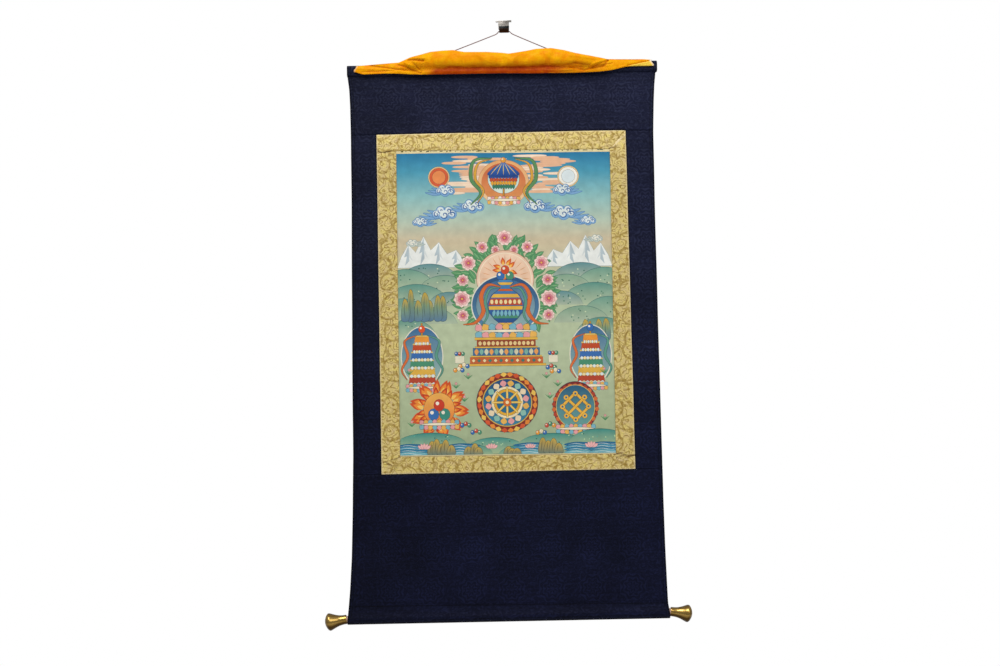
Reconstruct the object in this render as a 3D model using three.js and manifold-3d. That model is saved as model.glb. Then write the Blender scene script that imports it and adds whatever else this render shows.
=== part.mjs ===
// Thangka scroll painting hanging by its cord from a wall hook.
// Millimetres, +Z up. The origin is on the hook's flat back face, X runs to the right along the
// wall, and the front of the scroll faces -Y.
import * as THREE from 'three';
import { mergeVertices } from 'three/addons/utils/BufferGeometryUtils.js';
import Module from 'manifold-3d';

const wasm = await Module();
wasm.setup();

// The scroll hangs in a plane parallel to the wall.
const HANG_Y = -26;
const SEAM_GAP = 0.3;
const CLOTH_THICK = 2;
const GOLD_THICK = 2.5;
const PICTURE_THICK = 1.8;

// Gold frame, a rectangle, with the picture a little askew inside it.
const FRAME = { left: -259, right: 238.3, top: -225.4, bottom: -899 };
const PICTURE = {
  topLeft: { x: -220.3, z: -259.3 },
  topRight: { x: 204, z: -263.2 },
  bottomRight: { x: 198.8, z: -869.2 },
  bottomLeft: { x: -222.3, z: -865.7 },
};
// Heights at the frame's outer edge of the three butt seams, which slope a little.
const BUTT_SEAM = { topLeft: -263, bottomLeft: -878, bottomRight: -873.5 };

// Free side edges of the navy mount, measured at these heights.
const MOUNT_EDGES = [
  { z: -108, left: -314.8, right: 301.9 },
  { z: -132, left: -311.7, right: 298.9 },
  { z: -166, left: -310.5, right: 296.8 },
  { z: -232, left: -309.9, right: 294.3 },
  { z: -362, left: -310.3, right: 293 },
  { z: -562, left: -312.3, right: 292.3 },
  { z: -762, left: -313.9, right: 292 },
  { z: -862, left: -314, right: 292.2 },
  { z: -962, left: -316.3, right: 291.8 },
  { z: -1062, left: -319.6, right: 292.9 },
  { z: -1122, left: -323.3, right: 293.5 },
  { z: -1159, left: -326.9, right: 294.3 },
  { z: -1187, left: -329.1, right: 297.4 },
];

// Top rod, a flat batten with round edges, and the sleeve that goes round it.
const ROD = { left: -313.4, right: 302.8, z: -96.5, height: 18, thick: 8 };
const TOP_SLEEVE = { left: -315.4, right: 304.8 };
// Bottom dowel, and the sleeve, whose seam and lower edge both fall to the right.
const DOWEL = { left: -328.8, right: 296.8, z: -1177.4, radius: 7.5 };
const TENON = { radius: 6.9, length: 12 };
const BOTTOM_SLEEVE = { seamLeft: -1152.7, seamRight: -1160, slackLeft: 0, slackRight: 2.4 };

// Brass knobs: outside profile from the mouth to the domed end, and a socket for the tenon.
const KNOB_PROFILE = [
  { along: 0, radius: 8.8 },
  { along: 8, radius: 9.1 },
  { along: 15, radius: 10.2 },
  { along: 22, radius: 12.5 },
  { along: 28, radius: 15.2 },
  { along: 31.5, radius: 16.4 },
  { along: 34, radius: 16.5 },
  { along: 37, radius: 14.1 },
  { along: 40.3, radius: 8.5 },
  { along: 42.2, radius: 0 },
];
const SOCKET = { radius: 8.2, depth: 14 };
const KNOB = { sides: 24, droop: THREE.MathUtils.degToRad(7.6), offDowel: 1.6, lift: 0.7 };

// Wall hook: a strip of steel with a cross head, bent forward to a trough with a front lip.
const HOOK = { thick: 1.3, width: 19, strapTop: 10, strapBend: -5, bendPull: 7.5 };
const HOOK_HEAD = { width: 31.7, bottom: 6.4, height: 4, thick: 1.4, offWall: 0.1 };
const TROUGH = { z: -17.5, inside: 3.9, lipTop: -10.5, sides: 12 };

// Hanging cord, from a knot on the sleeve, over the trough, to the other knot.
const CORD_RADIUS = 1;
const CORD_STEPS = 48;
const CORD_REST_Z = TROUGH.z - TROUGH.inside + CORD_RADIUS + SEAM_GAP;
const KNOTS = { left: -166, right: 146, radius: 2.6, height: 4.4 };
const CORD_ROUTE = [
  { x: -163.1, z: -81.6 },
  { x: -130, z: -69.4 },
  { x: -100, z: -57.8 },
  { x: -60, z: -42.7 },
  { x: -30, z: -31.2 },
  { x: -17.3, z: -26.3 },
  { x: -12.9, z: -22.9 },
  { x: -10.4, z: CORD_REST_Z },
  { x: -8, z: CORD_REST_Z },
  { x: 0, z: CORD_REST_Z },
  { x: 8, z: CORD_REST_Z },
  { x: 10.4, z: CORD_REST_Z },
  { x: 12.9, z: -22.7 },
  { x: 17.3, z: -26 },
  { x: 30, z: -32 },
  { x: 60, z: -45.5 },
  { x: 90, z: -58.7 },
  { x: 120, z: -71.5 },
  { x: 143.1, z: -81.4 },
];

// Saffron cover: its flat size, how far across it is sewn on, and where it passes under the cord.
const COVER = { length: 830, thick: 1, sewnLeft: -301, sewnRight: 297.5, sewnZ: -95 };
// How much of that length lies in front, at the middle and at the side hems.
const COVER_FRONT = { middle: 105, sides: 165 };
const GATE = { left: -138, right: 120 };
const TAIL = { left: -215, right: 210, y: -9.9, folds: 8, fold: 6.3, rows: 5, columns: 48 };
// The cloth's path from the lip that hangs over the seam, up to the crest, at its middle and at its
// ends. share is how far up it is from lip to crest, and draw how far it is pulled in sideways.
const FRONT_PATH = [
  { share: 0, draw: 0, midY: -37.2, endY: -35.6 },
  { share: 0.12, draw: 0, midY: -39.4, endY: -36.8 },
  { share: 0.25, draw: 0, midY: -38.2, endY: -37.2 },
  { share: 0.43, draw: 0.01, midY: -43.5, endY: -37.5 },
  { share: 0.62, draw: 0.02, midY: -50, endY: -37.6 },
  { share: 0.8, draw: 0.03, midY: -50.5, endY: -37.4 },
  { share: 0.93, draw: 0.04, midY: -46, endY: -37 },
  { share: 1, draw: 0.06, midY: -40, endY: -36 },
];
// From the crest, in under the cord and over the sleeve. fold is the depth of its gathers there.
const GATE_PATH = [
  { draw: 0.55, y: -35.2, midDrop: 3, endZ: -82.8, fold: 0.15 },
  { draw: 1, y: -31.8, midDrop: 8, endZ: -79.6, fold: 0.5 },
  { draw: 1, y: -22, midDrop: 11, endZ: -79.6, fold: 0.7 },
  { draw: 1, y: -14.3, midDrop: 15, endZ: -82, fold: 0.8 },
  { draw: 1, y: -9.9, midDrop: 22, endZ: -88, fold: 0.95 },
];
// Height of the lip and of the crest across the width.
const COVER_EDGES = [
  { x: -301, lip: -99.5, crest: -88.8 },
  { x: -283, lip: -105, crest: -88 },
  { x: -240, lip: -104, crest: -86 },
  { x: -212, lip: -104.6, crest: -84 },
  { x: -197, lip: -106, crest: -78.4 },
  { x: -185, lip: -107, crest: -73.6 },
  { x: -161, lip: -107.8, crest: -67.6 },
  { x: -145, lip: -108, crest: -63.4 },
  { x: -125, lip: -108, crest: -61.7 },
  { x: -101, lip: -108, crest: -61 },
  { x: -80, lip: -108, crest: -65 },
  { x: -35, lip: -108, crest: -65.7 },
  { x: -5, lip: -108, crest: -68 },
  { x: 7, lip: -108.2, crest: -69.8 },
  { x: 19, lip: -108.5, crest: -68.4 },
  { x: 43, lip: -109, crest: -64.8 },
  { x: 61, lip: -109.2, crest: -61.4 },
  { x: 91, lip: -109.3, crest: -60 },
  { x: 115, lip: -109.4, crest: -64.2 },
  { x: 139, lip: -109.4, crest: -70.5 },
  { x: 163, lip: -108.8, crest: -75 },
  { x: 187, lip: -107.8, crest: -79.8 },
  { x: 211, lip: -105, crest: -84.8 },
  { x: 247, lip: -98, crest: -86 },
  { x: 271, lip: -97.8, crest: -84.6 },
  { x: 297.5, lip: -97.8, crest: -86.6 },
];

const MATERIALS = {
  navy: new THREE.MeshStandardMaterial({ color: 0x1c1e38, roughness: 0.75, metalness: 0 }),
  gold: new THREE.MeshStandardMaterial({ color: 0xd8c27e, roughness: 0.55, metalness: 0.1 }),
  paper: new THREE.MeshStandardMaterial({ color: 0xa9b89a, roughness: 0.8, metalness: 0 }),
  silk: new THREE.MeshStandardMaterial({ color: 0xf59a14, roughness: 0.45, metalness: 0 }),
  wood: new THREE.MeshStandardMaterial({ color: 0xb08a72, roughness: 0.6, metalness: 0 }),
  brass: new THREE.MeshStandardMaterial({ color: 0xb8923c, roughness: 0.25, metalness: 1 }),
  cord: new THREE.MeshStandardMaterial({ color: 0x6d5652, roughness: 0.8, metalness: 0 }),
  steel: new THREE.MeshStandardMaterial({ color: 0x9a9890, roughness: 0.35, metalness: 1 }),
};

// Stands a section drawn in x and y upright in the y-z plane, and its length along x.
const SECTION_TO_SIDE = new THREE.Matrix4().makeBasis(
  new THREE.Vector3(0, 1, 0), new THREE.Vector3(0, 0, 1), new THREE.Vector3(1, 0, 0),
);

const group = new THREE.Group();

function add(name, geometry, material) {
  const mesh = new THREE.Mesh(geometry, material);
  mesh.name = name;
  group.add(mesh);
  return mesh;
}

// Rises smoothly from 0 to 1 as the value goes from one limit to the other, upwards or downwards.
function smooth(from, to, value) {
  const share = THREE.MathUtils.clamp((value - from) / (to - from), 0, 1);
  return share * share * (3 - 2 * share);
}

// Reads a table between its rows, with straight lines in between.
function between(rows, key, at, column) {
  const ordered = [...rows].sort((a, b) => a[key] - b[key]);
  const place = THREE.MathUtils.clamp(at, ordered[0][key], ordered[ordered.length - 1][key]);
  const next = Math.max(1, ordered.findIndex((row) => row[key] >= place));
  const [low, high] = [ordered[next - 1], ordered[next]];
  return THREE.MathUtils.mapLinear(place, low[key], high[key], low[column], high[column]);
}

function mountEdge(z, side) {
  return between(MOUNT_EDGES, 'z', z, side);
}

// The hung cloth isn't quite flat: slow upright waves, a memory of being rolled, and edges that
// curl back. It is flat where it meets the two rods.
const SWAY = {
  upright: 1.6, uprightLength: 285, rolled: 1.1, rolledLength: 215, slant: 420, curl: 2.6, curlPower: 7,
};
const SWAY_ENDS = { top: -110, topFree: -230, bottom: -1150, bottomFree: -1040 };
function sway(x, z) {
  const free = smooth(SWAY_ENDS.top, SWAY_ENDS.topFree, z)
    * smooth(SWAY_ENDS.bottom, SWAY_ENDS.bottomFree, z);
  const upright = SWAY.upright * Math.sin((2 * Math.PI * x) / SWAY.uprightLength + 0.9);
  const slant = x / SWAY.slant;
  const rolled = SWAY.rolled * Math.sin((2 * Math.PI * z) / SWAY.rolledLength + slant + 0.5);
  const middle = (mountEdge(z, 'left') + mountEdge(z, 'right')) / 2;
  const half = (mountEdge(z, 'right') - mountEdge(z, 'left')) / 2;
  const curl = SWAY.curl * Math.abs((x - middle) / half) ** SWAY.curlPower;
  return HANG_Y + free * (upright + rolled + curl);
}

// Turns a closed mesh's faces outwards.
function outward(geometry) {
  const position = geometry.getAttribute('position');
  const index = geometry.getIndex();
  const [a, b, c] = [new THREE.Vector3(), new THREE.Vector3(), new THREE.Vector3()];
  let volume = 0;
  for (let i = 0; i < index.count; i += 3) {
    a.fromBufferAttribute(position, index.getX(i));
    b.fromBufferAttribute(position, index.getX(i + 1));
    c.fromBufferAttribute(position, index.getX(i + 2));
    volume += a.dot(b.cross(c));
  }
  if (volume < 0) {
    for (let i = 0; i < index.count; i += 3) {
      const first = index.getX(i);
      index.setX(i, index.getX(i + 1));
      index.setX(i + 1, first);
    }
  }
  geometry.computeVertexNormals();
  return geometry;
}

function fromPoints(points, triangles) {
  const geometry = new THREE.BufferGeometry();
  geometry.setAttribute('position', new THREE.Float32BufferAttribute(points.flat(), 3));
  geometry.setIndex(triangles);
  return outward(geometry);
}

// A closed body from two grids of points, one for each face of a cloth, joined round the rim.
function clothBody(faceGrid, backGrid) {
  const rows = faceGrid.length;
  const columns = faceGrid[0].length;
  const points = [...faceGrid.flat(), ...backGrid.flat()];
  const at = (side, row, column) => side * rows * columns + row * columns + column;
  const triangles = [];
  const quad = (a, b, c, d) => triangles.push(a, b, c, a, c, d);
  for (let r = 0; r + 1 < rows; r += 1) {
    for (let c = 0; c + 1 < columns; c += 1) {
      quad(at(0, r, c), at(0, r, c + 1), at(0, r + 1, c + 1), at(0, r + 1, c));
      quad(at(1, r, c), at(1, r + 1, c), at(1, r + 1, c + 1), at(1, r, c + 1));
    }
  }
  for (let c = 0; c + 1 < columns; c += 1) {
    quad(at(0, 0, c), at(1, 0, c), at(1, 0, c + 1), at(0, 0, c + 1));
    quad(at(0, rows - 1, c), at(0, rows - 1, c + 1), at(1, rows - 1, c + 1), at(1, rows - 1, c));
  }
  for (let r = 0; r + 1 < rows; r += 1) {
    quad(at(0, r, 0), at(0, r + 1, 0), at(1, r + 1, 0), at(1, r, 0));
    quad(at(0, r, columns - 1), at(1, r, columns - 1), at(1, r + 1, columns - 1),
      at(0, r + 1, columns - 1));
  }
  return fromPoints(points, triangles);
}

// Moves the sides of a four-cornered piece inwards by half a seam gap.
function insetCorners(corners) {
  const edges = corners.map((corner, i) => {
    const next = corners[(i + 1) % 4];
    const along = new THREE.Vector2(next.x - corner.x, next.z - corner.z).normalize();
    const inwards = new THREE.Vector2(along.y, -along.x).multiplyScalar(SEAM_GAP / 2);
    return { x: corner.x + inwards.x, z: corner.z + inwards.y, along };
  });
  return corners.map((_, i) => {
    const [first, second] = [edges[(i + 3) % 4], edges[i]];
    const cross = first.along.x * second.along.y - first.along.y * second.along.x;
    const run = ((second.x - first.x) * second.along.y - (second.z - first.z) * second.along.x)
      / cross;
    return { x: first.x + first.along.x * run, z: first.z + first.along.y * run };
  });
}

function evenly(count) {
  return Array.from({ length: count + 1 }, (_, i) => i / count);
}

// A flat piece of the hung cloth. place gives x and z for u across and v down.
function hungPiece(place, across, rows, thick, proud = 0) {
  const faces = [-thick / 2 - proud, thick / 2 - proud].map((offset) => (
    evenly(rows).map((v) => across.map((u) => {
      const { x, z } = place(u, v);
      return [x, sway(x, z) + offset, z];
    }))
  ));
  return clothBody(faces[0], faces[1]);
}

// Corners run top left, top right, bottom right, bottom left.
function fourCornered(corners) {
  const [a, b, c, d] = insetCorners(corners);
  return (u, v) => ({
    x: (1 - v) * ((1 - u) * a.x + u * b.x) + v * ((1 - u) * d.x + u * c.x),
    z: (1 - v) * ((1 - u) * a.z + u * b.z) + v * ((1 - u) * d.z + u * c.z),
  });
}

// A navy panel with a sleeve at one end. section gives, for a place across, the outline of the
// cloth and of the tunnel in it, as points of y and z from the hanging plane.
function sleevedPanel(section, edges, columns) {
  const stations = [];
  for (let c = 0; c <= columns; c += 1) {
    const u = c / columns;
    const { outline, tunnel } = section(u);
    const placed = [...outline, ...tunnel].map((p) => {
      const x = THREE.MathUtils.lerp(edges(p.z, 'left'), edges(p.z, 'right'), u);
      return [x, sway(x, p.z) + p.y, p.z];
    });
    stations.push({ placed, outline, tunnel });
  }
  const count = stations[0].placed.length;
  const outlineCount = stations[0].outline.length;
  const points = stations.flatMap((s) => s.placed);
  const triangles = [];
  for (let c = 0; c < columns; c += 1) {
    for (let i = 0; i < count; i += 1) {
      const loopStart = i < outlineCount ? 0 : outlineCount;
      const loopEnd = i < outlineCount ? outlineCount : count;
      const next = i + 1 < loopEnd ? i + 1 : loopStart;
      const [a, b] = [c * count + i, c * count + next];
      triangles.push(a, b, b + count, a, b + count, a + count);
    }
  }
  [0, columns].forEach((c) => {
    const flat = (loop) => loop.map((p) => new THREE.Vector2(p.y, p.z));
    const faces = THREE.ShapeUtils.triangulateShape(
      flat(stations[c].outline),
      [flat(stations[c].tunnel)],
    );
    faces.forEach(([i, j, k]) => {
      const start = c * count;
      const face = c === 0 ? [start + i, start + k, start + j] : [start + i, start + j, start + k];
      triangles.push(...face);
    });
  });
  return fromPoints(points, triangles);
}

// Points on an arc in the y-z plane, from one angle to another, measured from straight down.
function arc(centreZ, radius, from, to, steps, stretch = 0) {
  const points = [];
  for (let i = 0; i <= steps; i += 1) {
    const angle = THREE.MathUtils.lerp(from, to, i / steps);
    const down = Math.cos(angle) * radius;
    points.push({ y: -Math.sin(angle) * radius, z: centreZ - down - Math.max(0, down) * stretch });
  }
  return points;
}

// A rod's gap and the cloth round it.
const wrap = SEAM_GAP + CLOTH_THICK;

function topSection() {
  const radius = ROD.thick / 2;
  const half = ROD.height / 2 - radius;
  const outer = radius + wrap;
  const inner = radius + SEAM_GAP;
  const join = Math.asin(CLOTH_THICK / 2 / outer);
  const bottom = FRAME.top + SEAM_GAP / 2;
  const levels = [bottom, -195, -165, -140, -122];
  const front = levels.map((z) => ({ y: -CLOTH_THICK / 2, z }));
  const back = levels.map((z) => ({ y: CLOTH_THICK / 2, z })).reverse();
  return {
    outline: [
      ...front,
      ...arc(ROD.z - half, outer, join, Math.PI / 2, 4),
      ...arc(ROD.z + half, outer, Math.PI / 2, Math.PI * 1.5, 8),
      ...arc(ROD.z - half, outer, Math.PI * 1.5, Math.PI * 2 - join, 4),
      ...back,
    ].reverse(),
    tunnel: [
      ...arc(ROD.z - half, inner, -Math.PI / 2, Math.PI / 2, 8),
      ...arc(ROD.z + half, inner, Math.PI / 2, Math.PI * 1.5, 8),
    ],
  };
}

function bottomSection(u) {
  const seam = THREE.MathUtils.lerp(BOTTOM_SLEEVE.seamLeft, BOTTOM_SLEEVE.seamRight, u);
  const slack = THREE.MathUtils.lerp(BOTTOM_SLEEVE.slackLeft, BOTTOM_SLEEVE.slackRight, u);
  const outer = DOWEL.radius + wrap;
  const inner = DOWEL.radius + SEAM_GAP;
  const apex = seam - CLOTH_THICK * 2;
  const touch = (radius, z) => Math.PI - Math.acos(radius / (z - DOWEL.z));
  const outerTouch = touch(outer, seam);
  const innerTouch = touch(inner, apex);
  const top = FRAME.bottom - SEAM_GAP / 2;
  const levels = [top, -935, -975, -1015, -1055, -1095, -1130, seam];
  const front = levels.map((z) => ({ y: -CLOTH_THICK / 2, z }));
  const back = levels.map((z) => ({ y: CLOTH_THICK / 2, z }));
  const outerArc = arc(DOWEL.z, outer, outerTouch, -outerTouch, 14, slack / outer);
  const innerArc = arc(DOWEL.z, inner, innerTouch, -innerTouch, 14, slack / inner);
  return {
    outline: [...front, ...outerArc, ...back.reverse()],
    tunnel: [{ y: 0, z: apex }, ...innerArc].reverse(),
  };
}

function sleeveEdges(z, side) {
  return z > MOUNT_EDGES[0].z ? TOP_SLEEVE[side] : mountEdge(z, side);
}

function buildMount() {
  add('top_panel', sleevedPanel(topSection, sleeveEdges, 14), MATERIALS.navy);
  add('bottom_panel', sleevedPanel(bottomSection, mountEdge, 14), MATERIALS.navy);
  const half = SEAM_GAP / 2;
  const down = (v) => THREE.MathUtils.lerp(FRAME.top - half, FRAME.bottom + half, v);
  const leftStrip = (u, v) => {
    const z = down(v);
    return { x: THREE.MathUtils.lerp(mountEdge(z, 'left'), FRAME.left - half, u), z };
  };
  const rightStrip = (u, v) => {
    const z = down(v);
    return { x: THREE.MathUtils.lerp(FRAME.right + half, mountEdge(z, 'right'), u), z };
  };
  add('side_strip_left', hungPiece(leftStrip, evenly(2), 20, CLOTH_THICK), MATERIALS.navy);
  add('side_strip_right', hungPiece(rightStrip, evenly(2), 20, CLOTH_THICK), MATERIALS.navy);
}

// A strip that runs across, between an upper and a lower edge line. mitre is how much shorter its
// lower edge is at the right.
function crossStrip(upper, lower, mitre) {
  const half = SEAM_GAP / 2;
  const mitreGap = mitre > 0 ? half * Math.SQRT2 : half;
  return (u, v) => {
    const right = FRAME.right - mitreGap - mitre * v;
    const x = THREE.MathUtils.lerp(FRAME.left + half, right, u);
    const top = between(upper, 'x', x, 'z') - half;
    const bottom = between(lower, 'x', x, 'z') + half;
    return { x, z: THREE.MathUtils.lerp(top, bottom, v) };
  };
}

// Evenly spaced places across a strip, with one more at each bend in its edge.
function placesAcross(count, bends, right) {
  const share = (x) => (x - FRAME.left - SEAM_GAP / 2) / (right - FRAME.left - SEAM_GAP);
  const clear = 0.4 / count;
  const spaced = evenly(count).filter((u) => bends.every((x) => Math.abs(u - share(x)) > clear));
  return [...spaced, ...bends.map(share)].sort((a, b) => a - b);
}

function buildFrame() {
  const outerTop = [{ x: FRAME.left, z: FRAME.top }, { x: FRAME.right, z: FRAME.top }];
  const outerBottom = [{ x: FRAME.left, z: FRAME.bottom }, { x: FRAME.right, z: FRAME.bottom }];
  const seam = {
    topLeft: { x: FRAME.left, z: BUTT_SEAM.topLeft },
    bottomLeft: { x: FRAME.left, z: BUTT_SEAM.bottomLeft },
    bottomRight: { x: FRAME.right, z: BUTT_SEAM.bottomRight },
  };
  const { topLeft, topRight, bottomRight, bottomLeft } = PICTURE;
  const underTop = [seam.topLeft, topLeft, topRight];
  const overBottom = [seam.bottomLeft, bottomLeft, bottomRight, seam.bottomRight];
  const proud = (GOLD_THICK - CLOTH_THICK) / 2;
  const addStrip = (name, place, across, rows) => (
    add(name, hungPiece(place, across, rows, GOLD_THICK, proud), MATERIALS.gold)
  );
  addStrip(
    'gold_top',
    crossStrip(outerTop, underTop, FRAME.right - topRight.x),
    placesAcross(14, [topLeft.x], topRight.x),
    2,
  );
  addStrip(
    'gold_bottom',
    crossStrip(overBottom, outerBottom, 0),
    placesAcross(14, [bottomLeft.x, bottomRight.x], FRAME.right),
    2,
  );
  const leftCorners = [seam.topLeft, topLeft, bottomLeft, seam.bottomLeft];
  addStrip('gold_left', fourCornered(leftCorners), evenly(2), 18);
  const rightCorners = [topRight, { x: FRAME.right, z: FRAME.top }, seam.bottomRight, bottomRight];
  addStrip('gold_right', fourCornered(rightCorners), evenly(2), 18);
  const picture = fourCornered([topLeft, topRight, bottomRight, bottomLeft]);
  const sunk = (PICTURE_THICK - CLOTH_THICK) / 2;
  add('picture', hungPiece(picture, evenly(12), 18, PICTURE_THICK, sunk), MATERIALS.paper);
}

function buildRods() {
  const radius = ROD.thick / 2;
  const half = ROD.height / 2 - radius;
  const outline = new THREE.Shape();
  outline.absarc(0, half, radius, 0, Math.PI, false);
  outline.absarc(0, -half, radius, Math.PI, Math.PI * 2, false);
  outline.closePath();
  const length = ROD.right - ROD.left;
  const batten = new THREE.ExtrudeGeometry(outline, {
    depth: length, bevelEnabled: false, curveSegments: 7,
  });
  batten.applyMatrix4(SECTION_TO_SIDE);
  const rod = add('top_rod', batten, MATERIALS.wood);
  rod.position.set(ROD.left, HANG_Y, ROD.z);

  const middle = (DOWEL.left + DOWEL.right) / 2;
  const halfLength = (DOWEL.right - DOWEL.left) / 2;
  const profile = [
    new THREE.Vector2(0, -halfLength - TENON.length),
    new THREE.Vector2(TENON.radius, -halfLength - TENON.length),
    new THREE.Vector2(TENON.radius, -halfLength),
    new THREE.Vector2(DOWEL.radius, -halfLength),
    new THREE.Vector2(DOWEL.radius, halfLength),
    new THREE.Vector2(TENON.radius, halfLength),
    new THREE.Vector2(TENON.radius, halfLength + TENON.length),
    new THREE.Vector2(0, halfLength + TENON.length),
  ];
  const dowel = add('bottom_dowel', new THREE.LatheGeometry(profile, 20), MATERIALS.wood);
  dowel.rotation.z = -Math.PI / 2;
  dowel.position.set(middle, HANG_Y, DOWEL.z);
}

// Each knob sits loose on its tenon, so its outer end hangs a little low.
function buildKnobs() {
  const profile = [
    new THREE.Vector2(0, SOCKET.depth),
    new THREE.Vector2(SOCKET.radius, SOCKET.depth),
    new THREE.Vector2(SOCKET.radius, 0),
    ...KNOB_PROFILE.map((row) => new THREE.Vector2(row.radius, row.along)),
  ];
  [
    { name: 'knob_left', x: DOWEL.left - KNOB.offDowel, turn: Math.PI / 2 + KNOB.droop },
    { name: 'knob_right', x: DOWEL.right + KNOB.offDowel, turn: -Math.PI / 2 - KNOB.droop },
  ].forEach(({ name, x, turn }) => {
    const knob = add(name, new THREE.LatheGeometry(profile, KNOB.sides), MATERIALS.brass);
    knob.rotation.set(Math.PI / 2, 0, 0);
    knob.geometry.rotateZ(turn);
    knob.position.set(x, HANG_Y, DOWEL.z + KNOB.lift);
  });
}

function toManifold(geometry) {
  const bare = geometry.clone();
  bare.deleteAttribute('normal');
  bare.deleteAttribute('uv');
  const merged = mergeVertices(bare, 1e-4);
  return new wasm.Manifold(new wasm.Mesh({
    numProp: 3,
    vertProperties: new Float32Array(merged.getAttribute('position').array),
    triVerts: new Uint32Array(merged.getIndex().array),
  }));
}

function fromManifold(solid) {
  const mesh = solid.getMesh();
  const geometry = new THREE.BufferGeometry();
  geometry.setAttribute('position', new THREE.BufferAttribute(mesh.vertProperties, 3));
  geometry.setIndex(new THREE.BufferAttribute(mesh.triVerts, 1));
  geometry.computeVertexNormals();
  return geometry;
}

// Middle line of the hook's strip in the y-z plane, from the top of its back to the lip.
function hookLine() {
  const half = HOOK.thick / 2;
  const middle = TROUGH.inside + half;
  const behind = HANG_Y + middle;
  const reach = new THREE.CubicBezierCurve(
    new THREE.Vector2(-half, HOOK.strapBend),
    new THREE.Vector2(-half, HOOK.strapBend - HOOK.bendPull),
    new THREE.Vector2(behind, TROUGH.z + HOOK.bendPull),
    new THREE.Vector2(behind, TROUGH.z),
  );
  const points = [new THREE.Vector2(-half, HOOK.strapTop), ...reach.getPoints(12)];
  for (let i = 1; i <= TROUGH.sides; i += 1) {
    const angle = (Math.PI * i) / TROUGH.sides;
    points.push(new THREE.Vector2(
      HANG_Y + middle * Math.cos(angle),
      TROUGH.z - middle * Math.sin(angle),
    ));
  }
  points.push(new THREE.Vector2(HANG_Y - middle, TROUGH.lipTop));
  return points;
}

// Widens a middle line to a closed outline of the given thickness.
function thicken(line, thick) {
  const sides = [1, -1].map((side) => line.map((point, i) => {
    const before = line[Math.max(0, i - 1)];
    const after = line[Math.min(line.length - 1, i + 1)];
    const along = after.clone().sub(before).normalize();
    return new THREE.Vector2(
      point.x - (along.y * side * thick) / 2,
      point.y + (along.x * side * thick) / 2,
    );
  }));
  return new THREE.Shape([...sides[0], ...sides[1].reverse()]);
}

function buildHook() {
  const strip = new THREE.ExtrudeGeometry(thicken(hookLine(), HOOK.thick), {
    depth: HOOK.width, bevelEnabled: false,
  });
  strip.translate(0, 0, -HOOK.width / 2);
  strip.applyMatrix4(SECTION_TO_SIDE);
  const head = new THREE.BoxGeometry(HOOK_HEAD.width, HOOK_HEAD.thick, HOOK_HEAD.height);
  const headY = -HOOK_HEAD.offWall - HOOK_HEAD.thick / 2;
  head.translate(0, headY, HOOK_HEAD.bottom + HOOK_HEAD.height / 2);
  add('wall_hook', fromManifold(toManifold(strip).add(toManifold(head))), MATERIALS.steel);
}

function buildCord() {
  const route = new THREE.CatmullRomCurve3(
    CORD_ROUTE.map(({ x, z }) => new THREE.Vector3(x, HANG_Y, z)), false, 'centripetal',
  );
  const section = new THREE.Shape();
  section.absarc(0, 0, CORD_RADIUS, 0, Math.PI * 2, false);
  const tube = new THREE.ExtrudeGeometry(section, {
    steps: CORD_STEPS, extrudePath: route, curveSegments: 4, bevelEnabled: false,
  });
  add('cord', tube, MATERIALS.cord);
  const sleeveTop = ROD.z + ROD.height / 2 + wrap;
  ['left', 'right'].forEach((side) => {
    const knot = add(`knot_${side}`, new THREE.SphereGeometry(1, 12, 8), MATERIALS.cord);
    knot.scale.set(KNOTS.radius, KNOTS.radius, KNOTS.height / 2);
    knot.position.set(KNOTS[side], HANG_Y, sleeveTop + SEAM_GAP + KNOTS.height / 2);
  });
}

// The cover's middle surface, row by row down its length, at u across its width.
function frontPoint(step, u) {
  const sewn = THREE.MathUtils.lerp(COVER.sewnLeft, COVER.sewnRight, u);
  const gate = THREE.MathUtils.lerp(GATE.left, GATE.right, u);
  const x = THREE.MathUtils.lerp(sewn, gate, step.draw);
  const lip = between(COVER_EDGES, 'x', x, 'lip');
  const crest = between(COVER_EDGES, 'x', x, 'crest');
  const full = smooth(-87, -71, crest);
  return {
    x,
    y: THREE.MathUtils.lerp(step.endY, step.midY, full),
    z: THREE.MathUtils.lerp(lip, crest, step.share),
    fold: 0,
    u,
  };
}

function gatePoint(step, u) {
  const sewn = THREE.MathUtils.lerp(COVER.sewnLeft, COVER.sewnRight, u);
  const gate = THREE.MathUtils.lerp(GATE.left, GATE.right, u);
  const x = THREE.MathUtils.lerp(sewn, gate, step.draw);
  const middle = smooth(0, 0.22, u) * smooth(1, 0.78, u);
  const crest = between(COVER_EDGES, 'x', x, 'crest');
  const z = THREE.MathUtils.lerp(step.endZ, crest - step.midDrop, middle);
  const ends = smooth(0, 0.1, u) * smooth(1, 0.9, u);
  return { x, y: step.y, z: Math.max(z, step.endZ), fold: step.fold * (0.25 + 0.75 * ends), u };
}

// The tail hangs behind the scroll, its side hems a little shorter than its middle.
function tailPoint(start, fall) {
  const middle = smooth(0, 0.25, start.u) * smooth(1, 0.75, start.u);
  const inFront = THREE.MathUtils.lerp(COVER_FRONT.sides, COVER_FRONT.middle, middle);
  const reach = COVER.length - inFront;
  const spread = THREE.MathUtils.lerp(TAIL.left, TAIL.right, start.u);
  return {
    x: THREE.MathUtils.lerp(start.x, spread, fall ** 0.8),
    y: TAIL.y,
    z: start.z - reach * fall,
    fold: THREE.MathUtils.lerp(1, 0.8, fall),
    u: start.u,
  };
}

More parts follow.
